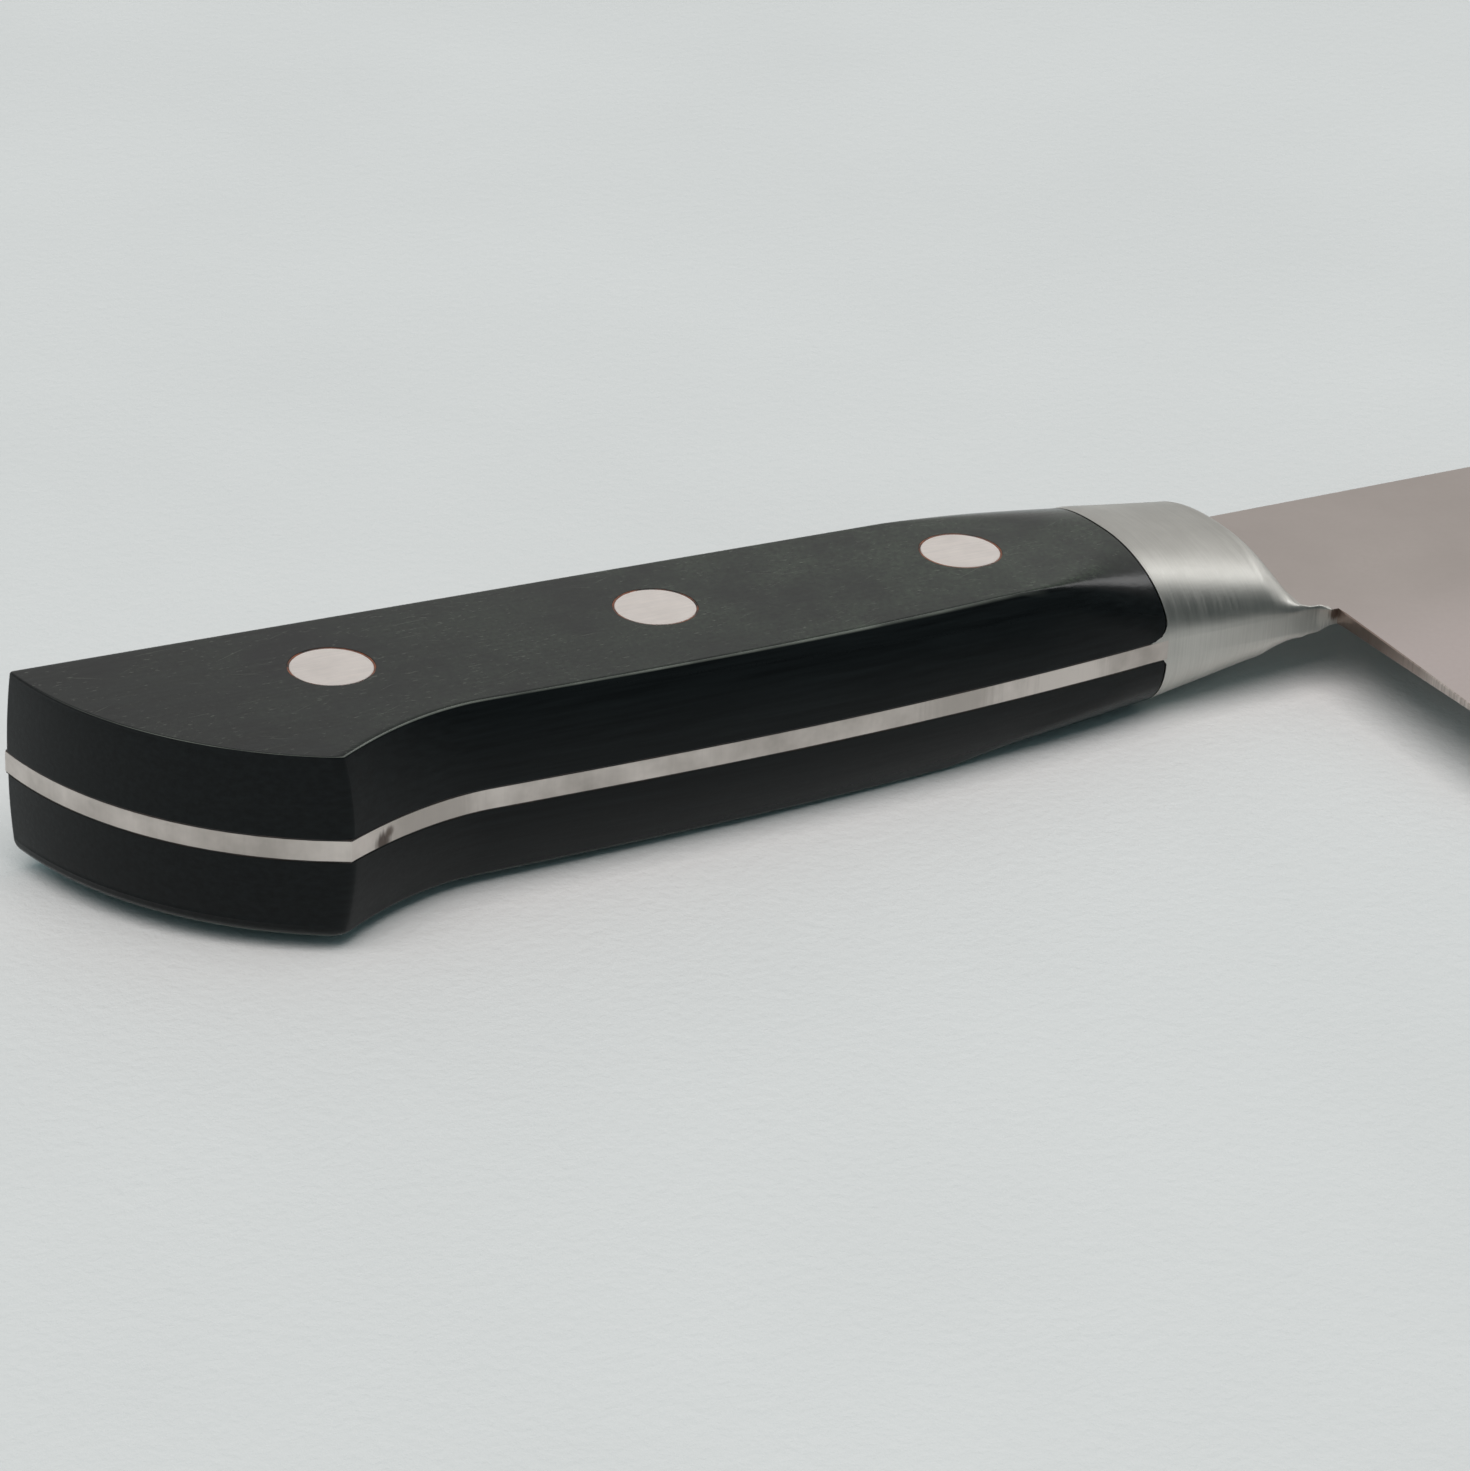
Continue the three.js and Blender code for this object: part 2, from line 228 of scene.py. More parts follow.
@dataclass(frozen=True)
class PressedWood:
    """Black resin-pressed wood, sanded and oiled.

    The resin is nearly black and the fibres lie along the handle. The eye gets a soft grey sheen on
    the flats, mottled by fine dust and broken by pale specks and the hairlines of handling, and
    near-black sides. The dust layer also carries painted sheen that brightens the flats towards the
    front, and a thin painted highlight runs along the flats' belly edges.
    """

    name: str = "black_pressed_wood_sanded"
    resin: str = "#0a0d0e"
    fibre: str = "#121617"
    # Dust on the flats, which also serves as painted sheen.
    dust_and_sheen: str = "#303a30"
    speck: str = "#6a6f66"
    hairline: str = "#484e46"
    # Painted highlight: a thin pale line along the flats' belly edges, in place of a reflection there.
    painted_edge_highlight: str = "#5c615b"
    # The sheen seen straight on is dulled, as a sanded face looks beside a polished one.
    straight_on: str = "#a8a8a8"
    ior: float = 1.38
    roughness: float = 0.2
    # The sides are sanded across a belt and stay rougher than the flats.
    side_roughness: float = 0.45
    # Fibre bundles, dust and hairlines are 0.03 to 0.1 mm wide and are drawn at 0.2 to 0.45 mm so
    # that they show.
    fibre_size: tuple[float, float, float] = (14.0, 0.45, 0.45)
    fibre_depth: float = 0.012
    grain_size: float = 0.4
    bloom_size: float = 8.0
    speck_size: tuple[float, float, float] = (0.7, 0.25, 0.25)
    speck_share: float = 0.4
    hairline_size: tuple[float, float, float] = (7.0, 0.2, 7.0)
    hairline_turns: tuple[float, ...] = (-26.0, 3.0, 24.0)
    # The dust layer also paints sheen, growing from none at the butt to full at the rounded front.
    painted_sheen_run: tuple[float, float] = (-110.0, -10.0)
    # Where the painted edge highlight fades out towards the front.
    highlight_end: tuple[float, float] = (-12.0, -22.0)
    smudge_at: tuple[float, float, float] = (-76.0, 3.0, 8.0)
    smudge_run: tuple[float, float] = (8.5, 11.05)
    bump_strength: float = 0.6

    def make(self) -> bpy.types.Material:
        """Builds the material.

        Returns:
            The material.
        """
        material, shader, place = start_material(self.name)
        tree = material.node_tree
        noises = []
        for size, detail, turn in (
            (self.fibre_size, 4.0, 0.0), ((self.grain_size,) * 3, 2.0, 0.0),
            ((self.bloom_size,) * 3, 3.0, 0.0), (self.speck_size, 1.0, 0.0),
            *((self.hairline_size, 2.0, turn) for turn in self.hairline_turns),
        ):
            laid = add_node(tree, "Mapping", {
                "Vector": place, "Rotation": (0, 0, math.radians(turn)), "Scale": size,
            }, vector_type="TEXTURE")
            noises.append(add_node(tree, "TexNoise", {
                "Vector": laid, "Scale": 1.0, "Detail": detail, "Roughness": 0.6}))
        fibres, grain, bloom, specks, *hairlines = noises
        normal = add_node(tree, "TexCoord", {}, "Normal")
        upright = add_node(tree, "SeparateXYZ", {0: normal}, "Z")
        level = add_node(tree, "Math", {0: upright}, operation="ABSOLUTE")
        spineward = add_node(tree, "SeparateXYZ", {0: normal}, "Y")
        along = add_node(tree, "SeparateXYZ", {0: place}, "X")
        reach = add_node(tree, "VectorMath", {0: place, 1: self.smudge_at}, "Value", operation="DISTANCE")
        ragged = add_node(tree, "Math", {
            0: bloom, 1: self.smudge_run[0], 2: reach}, operation="MULTIPLY_ADD")
        # A mask goes from its least share at the first value to all at the second.
        masks: dict[str, Any] = {"faint": self.speck_share}
        for name, value, none_at, all_at, least in (
            ("streaky", fibres, 0.35, 0.7, 0.0), ("on_flat", level, 0.85, 0.97, 0.0),
            ("unsmudged", ragged, *self.smudge_run, 0.2), ("painted_sheen_forward", along, *self.painted_sheen_run, 0.0),
            ("patchy", bloom, 0.35, 0.62, 0.3), ("grainy", grain, 0.3, 0.66, 0.25),
            ("speckled", specks, 0.64, 0.8, 0.0),
            *((f"scratch_{at}", lines, 0.69, 0.84, 0.0) for at, lines in enumerate(hairlines)),
            ("off_wall", level, 0.6, 0.75, 0.0), ("off_flat", level, 0.95, 0.88, 0.0),
            ("belly_edge", spineward, -0.15, -0.35, 0.0), ("behind_front", along, *self.highlight_end, 0.0),
            ("broken", bloom, 0.3, 0.6, 0.35), ("polish", grain, 0.1, 0.5, 0.8),
        ):
            masks[name] = add_node(tree, "MapRange", {
                "Value": value, "From Min": none_at, "From Max": all_at, "To Min": least})
        layers = (
            (self.fibre, ("streaky",)),
            # Dust, with painted sheen that grows towards the front.
            (self.dust_and_sheen, ("on_flat", "unsmudged", "painted_sheen_forward", "patchy", "grainy")),
            (self.speck, ("speckled", "on_flat", "patchy", "faint")),
            *((self.hairline, (f"scratch_{at}", "on_flat")) for at in range(len(hairlines))),
            # A painted highlight along the flats' belly edges.
            (self.painted_edge_highlight, ("off_wall", "off_flat", "belly_edge", "behind_front", "broken")),
        )
        sanded = add_node(tree, "MapRange", {
            "Value": level, "From Min": 0.35, "From Max": 0.55,
            "To Min": self.side_roughness, "To Max": self.roughness})
        uneven = add_node(tree, "Math", {0: fibres, 1: grain}, operation="ADD")
        feed(shader, {
            "Base Color": lay_colours(
                tree, self.resin, [(tone, [masks[name] for name in names]) for tone, names in layers]),
            "Roughness": add_node(tree, "Math", {0: sanded, 1: masks["polish"]}, operation="MULTIPLY"),
            "Normal": add_node(tree, "Bump", {
                "Strength": self.bump_strength, "Distance": self.fibre_depth * MM, "Height": uneven}),
            "IOR": self.ior, "Specular Tint": linear(self.straight_on)})
        return material


@dataclass(frozen=True)
class Spot:
    """A spot of another colour on steel, such as a stain."""

    at: tuple[float, float, float]
    radius: float
    colour: str


@dataclass(frozen=True)
class GroundSteel:
    """Stainless knife steel, ground with a belt or a stone.

    Grinding leaves fine parallel lines, which spread the reflection across them and give a soft
    grey with faint streaks. A stone finish has such short lines that the face looks matt.
    """

    name: str
    clean: str
    dull: str
    roughness: float
    line_spacing: tuple[float, float, float]
    line_depth: float
    line_contrast: float
    cloud_size: float
    spots: tuple[Spot, ...] = ()
    # A painted sheen: colour that brightens the face towards the cutting edge, in place of a brighter
    # reflection there.
    painted_edge_sheen: str = ""
    painted_edge_sheen_run: tuple[float, float] = (-6.0, -24.0)
    tone_span: tuple[float, float] = (0.36, 0.64)
    polish_swing: float = 0.15
    # A spot fades between these shares of its radius.
    spot_edge: tuple[float, float] = (-0.1, 0.6)
    spot_strength: float = 0.85
    bump_strength: float = 0.3

    def make(self) -> bpy.types.Material:
        """Builds the material.

        Returns:
            The material.
        """
        material, shader, place = start_material(self.name)
        tree = material.node_tree
        laid = add_node(tree, "Mapping", {
            "Vector": place, "Scale": tuple(1 / size for size in self.line_spacing)})
        lines = add_node(tree, "TexNoise", {
            "Vector": laid, "Scale": 1.0, "Detail": 3.0, "Roughness": 0.6})
        cloud = add_node(tree, "TexNoise", {
            "Vector": place, "Scale": 1 / self.cloud_size, "Detail": 4.0, "Roughness": 0.6})
        mixed = add_node(tree, "Math", {
            0: lines, 1: self.line_contrast, 2: cloud}, operation="MULTIPLY_ADD")
        low, high = (bound + bound * self.line_contrast for bound in self.tone_span)
        tone = add_node(tree, "MapRange", {"Value": mixed, "From Min": low, "From Max": high})
        layers = [(self.clean, [tone])]
        # Painted sheen towards the cutting edge.
        if self.painted_edge_sheen:
            height = add_node(tree, "SeparateXYZ", {0: place}, "Y")
            down = add_node(tree, "MapRange", {
                "Value": height, "From Min": self.painted_edge_sheen_run[0], "From Max": self.painted_edge_sheen_run[1],
            }, interpolation_type="SMOOTHSTEP")
            layers.append((self.painted_edge_sheen, [down]))
        for spot in self.spots:
            reach = add_node(tree, "VectorMath", {0: place, 1: spot.at}, "Value", operation="DISTANCE")
            ragged = add_node(tree, "Math", {
                0: lines, 1: -spot.radius, 2: reach}, operation="MULTIPLY_ADD")
            share = add_node(tree, "MapRange", {
                "Value": ragged, "From Min": self.spot_edge[0] * spot.radius,
                "From Max": self.spot_edge[1] * spot.radius,
                "To Min": self.spot_strength, "To Max": 0.0,
            }, interpolation_type="SMOOTHSTEP")
            layers.append((spot.colour, [share]))
        feed(shader, {
            "Base Color": lay_colours(tree, self.dull, layers),
            "Roughness": add_node(tree, "MapRange", {
                "Value": lines, "From Min": 0.3, "From Max": 0.7,
                "To Min": self.roughness * (1 - self.polish_swing),
                "To Max": self.roughness * (1 + self.polish_swing)}),
            "Normal": add_node(tree, "Bump", {
                "Strength": self.bump_strength, "Distance": self.line_depth * MM, "Height": lines}),
            "Metallic": 1.0})
        return material


@dataclass(frozen=True)
class BondingResin:
    """Two-part bonding resin, squeezed out and wiped.

    It dries to a dark amber that looks almost black in a thin line and brown where it is thick.
    """

    name: str
    thin: str
    thick: str
    patch_size: float
    ior: float = 1.52
    roughness: float = 0.45
    bump_strength: float = 0.3
    bump_depth: float = 0.03

    def make(self) -> bpy.types.Material:
        """Builds the material.

        Returns:
            The material.
        """
        material, shader, place = start_material(self.name)
        tree = material.node_tree
        patches = add_node(tree, "TexNoise", {
            "Vector": place, "Scale": 1 / self.patch_size, "Detail": 3.0, "Roughness": 0.6})
        share = add_node(tree, "MapRange", {"Value": patches, "From Min": 0.4, "From Max": 0.62})
        feed(shader, {
            "Base Color": lay_colours(tree, self.thin, [(self.thick, [share])]),
            "Normal": add_node(tree, "Bump", {
                "Strength": self.bump_strength, "Distance": self.bump_depth * MM, "Height": patches}),
            "IOR": self.ior, "Roughness": self.roughness})
        return material


@dataclass(frozen=True)
class PaintedBoard:
    """A board painted pale grey with a roller.

    The roller leaves a faint stipple and slight clouds of tone, which break up the soft shadow.
    """

    name: str = "painted_board_rolled"
    pale: str = "#ccd0cf"
    grey: str = "#c8cccb"
    roughness: float = 0.6
    specular_level: float = 0.2
    stipple: float = 1.1
    stipple_depth: float = 0.3
    bump_strength: float = 0.5
    cloud: float = 60.0

    def make(self) -> bpy.types.Material:
        """Builds the material.

        Returns:
            The material.
        """
        material, shader, place = start_material(self.name)
        tree = material.node_tree
        grain = add_node(tree, "TexNoise", {
            "Vector": place, "Scale": 1 / self.stipple, "Detail": 3.0, "Roughness": 0.6})
        clouds = add_node(tree, "TexNoise", {
            "Vector": place, "Scale": 1 / self.cloud, "Detail": 4.0, "Roughness": 0.55})
        share = add_node(tree, "MapRange", {"Value": clouds, "From Min": 0.3, "From Max": 0.7})
        feed(shader, {
            "Base Color": lay_colours(tree, self.grey, [(self.pale, [share])]),
            "Normal": add_node(tree, "Bump", {
                "Strength": self.bump_strength, "Distance": self.stipple_depth * MM, "Height": grain}),
            "Roughness": self.roughness, "Specular IOR Level": self.specular_level})
        return material


@dataclass(frozen=True)
class KnifeAxes:
    """Where the knife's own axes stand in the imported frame."""

    origin: tuple[float, float, float]

    @classmethod
    def from_frame(cls, point_x: float, heel_y: float) -> "KnifeAxes":
        """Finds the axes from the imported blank, whose point and heel are known in them."""
        low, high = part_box("blade_and_tang")
        return cls((high.x - point_x * MM, low.y - heel_y * MM, (low.z + high.z) / 2))

    def metres(self, point: Sequence[float]) -> Vector:
        """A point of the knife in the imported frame."""
        return Vector(self.origin) + Vector(point) * MM


@dataclass
class Skin:
    """A piece under construction, sewn from grids of points."""

    points: list[np.ndarray] = field(default_factory=list)
    faces: list[np.ndarray] = field(default_factory=list)
    finishes: list[int] = field(default_factory=list)
    count: int = 0

    def sheet(self, grid: np.ndarray, finish: int = 0) -> None:
        """Adds a grid of points as quads.

        Args:
            grid: Points by row and column.
            finish: Which of the piece's materials the quads take.
        """
        rows, columns = grid.shape[:2]
        at = np.arange(rows * columns).reshape(rows, columns) + self.count
        quads = np.stack([at[:-1, :-1], at[1:, :-1], at[1:, 1:], at[:-1, 1:]], axis=-1).reshape(-1, 4)
        self.points.append(grid.reshape(-1, 3))
        self.faces.append(quads)
        self.finishes += [finish] * len(quads)
        self.count += rows * columns

    def sew(self, name: str, axes: KnifeAxes, *materials: bpy.types.Material) -> bpy.types.Object:
        """Welds the sheets into one closed piece.

        Args:
            name: The piece's name.
            axes: Where the knife stands.
            *materials: The piece's materials, in the order that the sheets count them.

        Returns:
            The piece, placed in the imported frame.
        """
        mesh = bpy.data.meshes.new(name)
        mesh.from_pydata((np.concatenate(self.points) * MM).tolist(), [], np.concatenate(self.faces).tolist())
        mesh.polygons.foreach_set("material_index", np.array(self.finishes, np.int32))
        work = bmesh.new()
        work.from_mesh(mesh)
        bmesh.ops.remove_doubles(work, verts=work.verts, dist=WELD)
        bmesh.ops.dissolve_degenerate(work, edges=work.edges, dist=WELD)
        bmesh.ops.recalc_face_normals(work, faces=work.faces)
        work.to_mesh(mesh)
        work.free()
        piece = bpy.data.objects.new(name, mesh)
        bpy.context.scene.collection.objects.link(piece)
        piece.location = axes.origin
        for material in materials:
            mesh.materials.append(material)
        return piece


def smooth(piece: bpy.types.Object) -> None:
    """Shades a piece smooth between its sharp edges, with flat faces kept flat.

    Args:
        piece: The piece.
    """
    piece.data.polygons.foreach_set("use_smooth", [True] * len(piece.data.polygons))
    piece.data.set_sharp_from_angle(angle=SHARP_ANGLE)
    piece.modifiers.new("weighted_normals", "WEIGHTED_NORMAL").keep_sharp = True


def lathe(profile: Sequence[tuple[float, float]], x: float, turns: int = 72) -> np.ndarray:
    """Turns a profile about a rivet's axis.

    Args:
        profile: Radius and height of each point.
        x: X of the axis.
        turns: Steps round the axis.

    Returns:
        A grid of points, by profile point and step.
    """
    angle = np.linspace(0, 2 * math.pi, turns + 1)
    radius, height = np.array(profile, float).T[..., None]
    return np.stack([x + radius * np.cos(angle), radius * np.sin(angle), height + 0 * angle], axis=-1)


def bore(piece: bpy.types.Object, axes: KnifeAxes, side: Side,
         holes: Mapping[float, Sequence[tuple[float, float]]]) -> None:
    """Drills a piece for the rivets.

    Args:
        piece: The piece to drill.
        axes: Where the knife stands.
        side: The side that the holes go into.
        holes: The profile of each hole, by the X of its axis.
    """
    drills = []
    for x, profile in holes.items():
        skin = Skin()
        skin.sheet(lathe(profile, x) * side.flip)
        drills.append(skin.sew("drill", axes))
        cut = piece.modifiers.new("bore", "BOOLEAN")
        cut.object = drills[-1]
        cut.operation = "DIFFERENCE"
        cut.solver = "MANIFOLD"
    ready = piece.evaluated_get(bpy.context.evaluated_depsgraph_get())
    undrilled = piece.data
    name = undrilled.name
    piece.data = bpy.data.meshes.new_from_object(ready)
    piece.modifiers.clear()
    bpy.data.meshes.remove(undrilled)
    piece.data.name = name
    for drill in drills:
        bpy.data.meshes.remove(drill.data)


def end_face(left: np.ndarray, right: np.ndarray, low: np.ndarray, high: np.ndarray) -> np.ndarray:
    """Spans a sheet between four edges.

    Args:
        left: Points up the left edge.
        right: Points up the right edge.
        low: Points along the lower edge, from left to right.
        high: Points along the upper edge, from left to right.

    Returns:
        A grid of points, by row and column.
    """
    u = np.linspace(0, 1, len(low))[None, :, None]
    v = np.linspace(0, 1, len(left))[:, None, None]
    ruled = lerp(low[None], high[None], v) + lerp(left[:, None], right[:, None], u)
    return ruled - lerp(lerp(low[:1][None], low[-1:][None], u), lerp(high[:1][None], high[-1:][None], u), v)


@dataclass(frozen=True)
class HandleForm:
    """The outline and thickness that the tang and both scales share."""

    length: float = 100.0
    joint_rise: float = 10.4
    butt_rise: float = 9.8
    hook_setback: float = 19.3
    hook_drop: float = 16.2
    butt_bow: float = 4.2
    waist_x: float = -67.0
    waist_drop: float = 12.4
    grip_bulge: float = 0.8
    joint_drop: float = 10.9
    joint_slope: float = 0.105
    joint_blend: float = 5.0
    hook_power: float = 1.8
    grip_power: float = 3.0
    butt_thickness: float = 16.6
    front_thickness: float = 15.2
    joint_height: float = 7.3
    belly_inset_waist: float = 1.95
    belly_inset_front: float = 2.9
    hook_inset: float = 0.6
    butt_inset: float = 0.25
    spine_inset_butt: float = 0.3
    spine_inset_front: float = 3.0
    flat_end: float = 18.0
    flat_ease: float = 0.3
    bow_fade: float = 4.0
    fillet_radius: float = 2.0
    # The joint with the bolster leans back by this much at the spine.
    joint_skew: float = 1.1
    belly_round: float = 1.95
    spine_round: float = 2.7

    def rounding(self, x: Any) -> Any:
        """How far the section has gone from flat-sided to oval, from 0 to 1."""
        return ramp(x, -self.flat_end, 0, self.flat_ease)

    def top(self, x: Any) -> Any:
        """How far the scale's highest line stands from the middle of the blank."""
        flat = lerp(self.front_thickness, self.butt_thickness, -x / self.length) / 2
        return lerp(flat, self.joint_height, self.rounding(x))

    def butt_arc(self) -> tuple[np.ndarray, float]:
        """Finds the butt's arc in plan.

        Returns:
            Its centre and radius.
        """
        spine = np.array([-self.length, self.butt_rise])
        belly = np.array([self.hook_setback - self.length, -self.hook_drop])
        chord = belly - spine
        span = math.hypot(*chord)
        radius = span ** 2 / (8 * self.butt_bow) + self.butt_bow / 2
        inward = np.array([-chord[1], chord[0]]) / span
        return (spine + belly) / 2 + inward * (radius - self.butt_bow), radius

    def butt_x(self, y: Any, level: Any) -> Any:
        """Finds X of the butt face.

        Args:
            y: Y of the point.
            level: From 0 at the tang to 1 at the flat.

        Returns:
            X of the point.
        """
        centre, radius = self.butt_arc()
        reach = radius - self.butt_inset * level ** 2
        return centre[0] - np.sqrt(reach ** 2 - (y - centre[1]) ** 2)

    def hook_corner(self, level: Any) -> tuple[Any, Any]:
        """The tip of the hook under the butt."""
        y = -self.hook_drop + self.hook_inset * level ** 2
        return self.butt_x(y, level), y

    def spine_edge(self, x: Any, level: Any) -> Any:
        """Finds Y of the handle's upper edge.

        Args:
            x: X of the point.
            level: From 0 at the tang to 1 at the flat.

        Returns:
            Y of the point.
        """
        reach = -x / self.length
        inset = lerp(self.spine_inset_front, self.spine_inset_butt, reach)
        return lerp(self.joint_rise, self.butt_rise, reach) - inset * level ** 2

    def spine_corner(self, level: Any) -> tuple[Any, Any]:
        """The corner of butt and upper edge."""
        y = self.spine_edge(-self.length, level)
        return self.butt_x(y, level), y

    def belly_edge(self, x: Any, level: Any) -> Any:
        """Finds Y of the handle's lower edge, which runs on smoothly into the bolster's.

        Args:
            x: X of the point.
            level: From 0 at the tang to 1 at the flat.

        Returns:
            Y of the point.
        """
        hook_x, hook_y = self.hook_corner(level)
        grip = np.clip(1 - x / self.waist_x, 0, 1)
        inset = lerp(self.belly_inset_waist, self.belly_inset_front, grip) * level ** 2
        front = lerp(self.waist_drop, self.joint_drop, grip ** self.grip_power)
        front = inset - front - self.grip_bulge * np.sin(math.pi * grip)
        front = front + self.joint_slope * np.maximum(x, 0)
        run = np.clip((self.waist_x - x) / (self.waist_x - hook_x), 0, None)
        rear = lerp(inset - self.waist_drop, hook_y, run ** self.hook_power)
        level_run = inset - self.joint_drop
        settled = lerp(front, level_run, smoothstep(x, -self.joint_blend, self.joint_blend))
        return np.where(x >= self.waist_x, settled, rear)

    def plan(self, along: Any, across: Any, level: Any, front: Any) -> tuple[Any, Any]:
        """Finds a point of the handle's plan.

        Args:
            along: From 0 at the butt to 1 at the joint.
            across: From 0 at the belly to 1 at the spine.
            level: From 0 at the tang to 1 at the flat.
            front: X of the end at the joint.

        Returns:
            X and Y.
        """
        belly_x, belly_y = self.hook_corner(level)
        spine_x, spine_y = self.spine_corner(level)
        bow = self.butt_x(lerp(belly_y, spine_y, across), level) - lerp(belly_x, spine_x, across)
        low_x = lerp(belly_x, front, along)
        high_x = lerp(spine_x, front, along)
        x = lerp(low_x, high_x, across) + bow * (1 - along) ** self.bow_fade
        ease = level * np.sqrt(1 - self.rounding(x + self.joint_skew * along * across))
        return x, lerp(self.belly_edge(low_x, ease), self.spine_edge(high_x, ease), across)

    def fillet(self, z: Any) -> Any:
        """X of the bolster's back, which flares out of the tang with a fillet."""
        rise = np.clip(self.fillet_radius - (z - BLANK_HALF), 0, self.fillet_radius)
        return np.sqrt(self.fillet_radius ** 2 - rise ** 2) - self.fillet_radius


@dataclass(frozen=True)
class BladeForm:
    """The outline and grind of the blade."""

    start: float = 17.8
    length: float = 240.0
    spine_rise: float = 10.0
    choil_y: float = -11.1
    heel_y: float = -39.0
    point_y: float = -17.0
    point_half: float = 0.4
    edge_half: float = 0.1
    spine_straight: float = 80.0
    edge_straight: float = 60.0
    spine_power: float = 2.2
    edge_power: float = 2.5
    grind_share: float = 0.85
    grind_power: float = 1.5
    run_out: float = 4.0

    @property
    def point_x(self) -> float:
        """X of the point."""
        return self.start + self.length

    def spine(self, x: Any) -> Any:
        """Y of the blade's back."""
        run = np.clip((x - self.start - self.spine_straight) / (self.length - self.spine_straight), 0, 1)
        return lerp(self.spine_rise, self.point_y, run ** self.spine_power)

    def edge(self, x: Any) -> Any:
        """Y of the cutting edge."""
        run = np.clip((x - self.start - self.edge_straight) / (self.length - self.edge_straight), 0, 1)
        return lerp(self.heel_y, self.point_y, run ** self.edge_power)

    def half(self, x: Any, y: Any) -> Any:
        """Finds half the steel's thickness, from the bolster on.

        Args:
            x: X of the point.
            y: Y of the point.

        Returns:
            The half thickness.
        """
        ahead = np.maximum(x, self.start)
        back = lerp(BLANK_HALF, self.point_half, np.clip((ahead - self.start) / self.length, 0, 1))
        ground = np.maximum(self.grind_share * (self.spine(ahead) - self.edge(ahead)), 2 * self.edge_half)
        depth = np.clip(1 - (y - self.edge(ahead)) / ground, 0, 1)
        ground_half = lerp(back, self.edge_half, depth ** self.grind_power)
        return lerp(BLANK_HALF, ground_half, smoothstep(x, self.start - self.run_out, self.start))


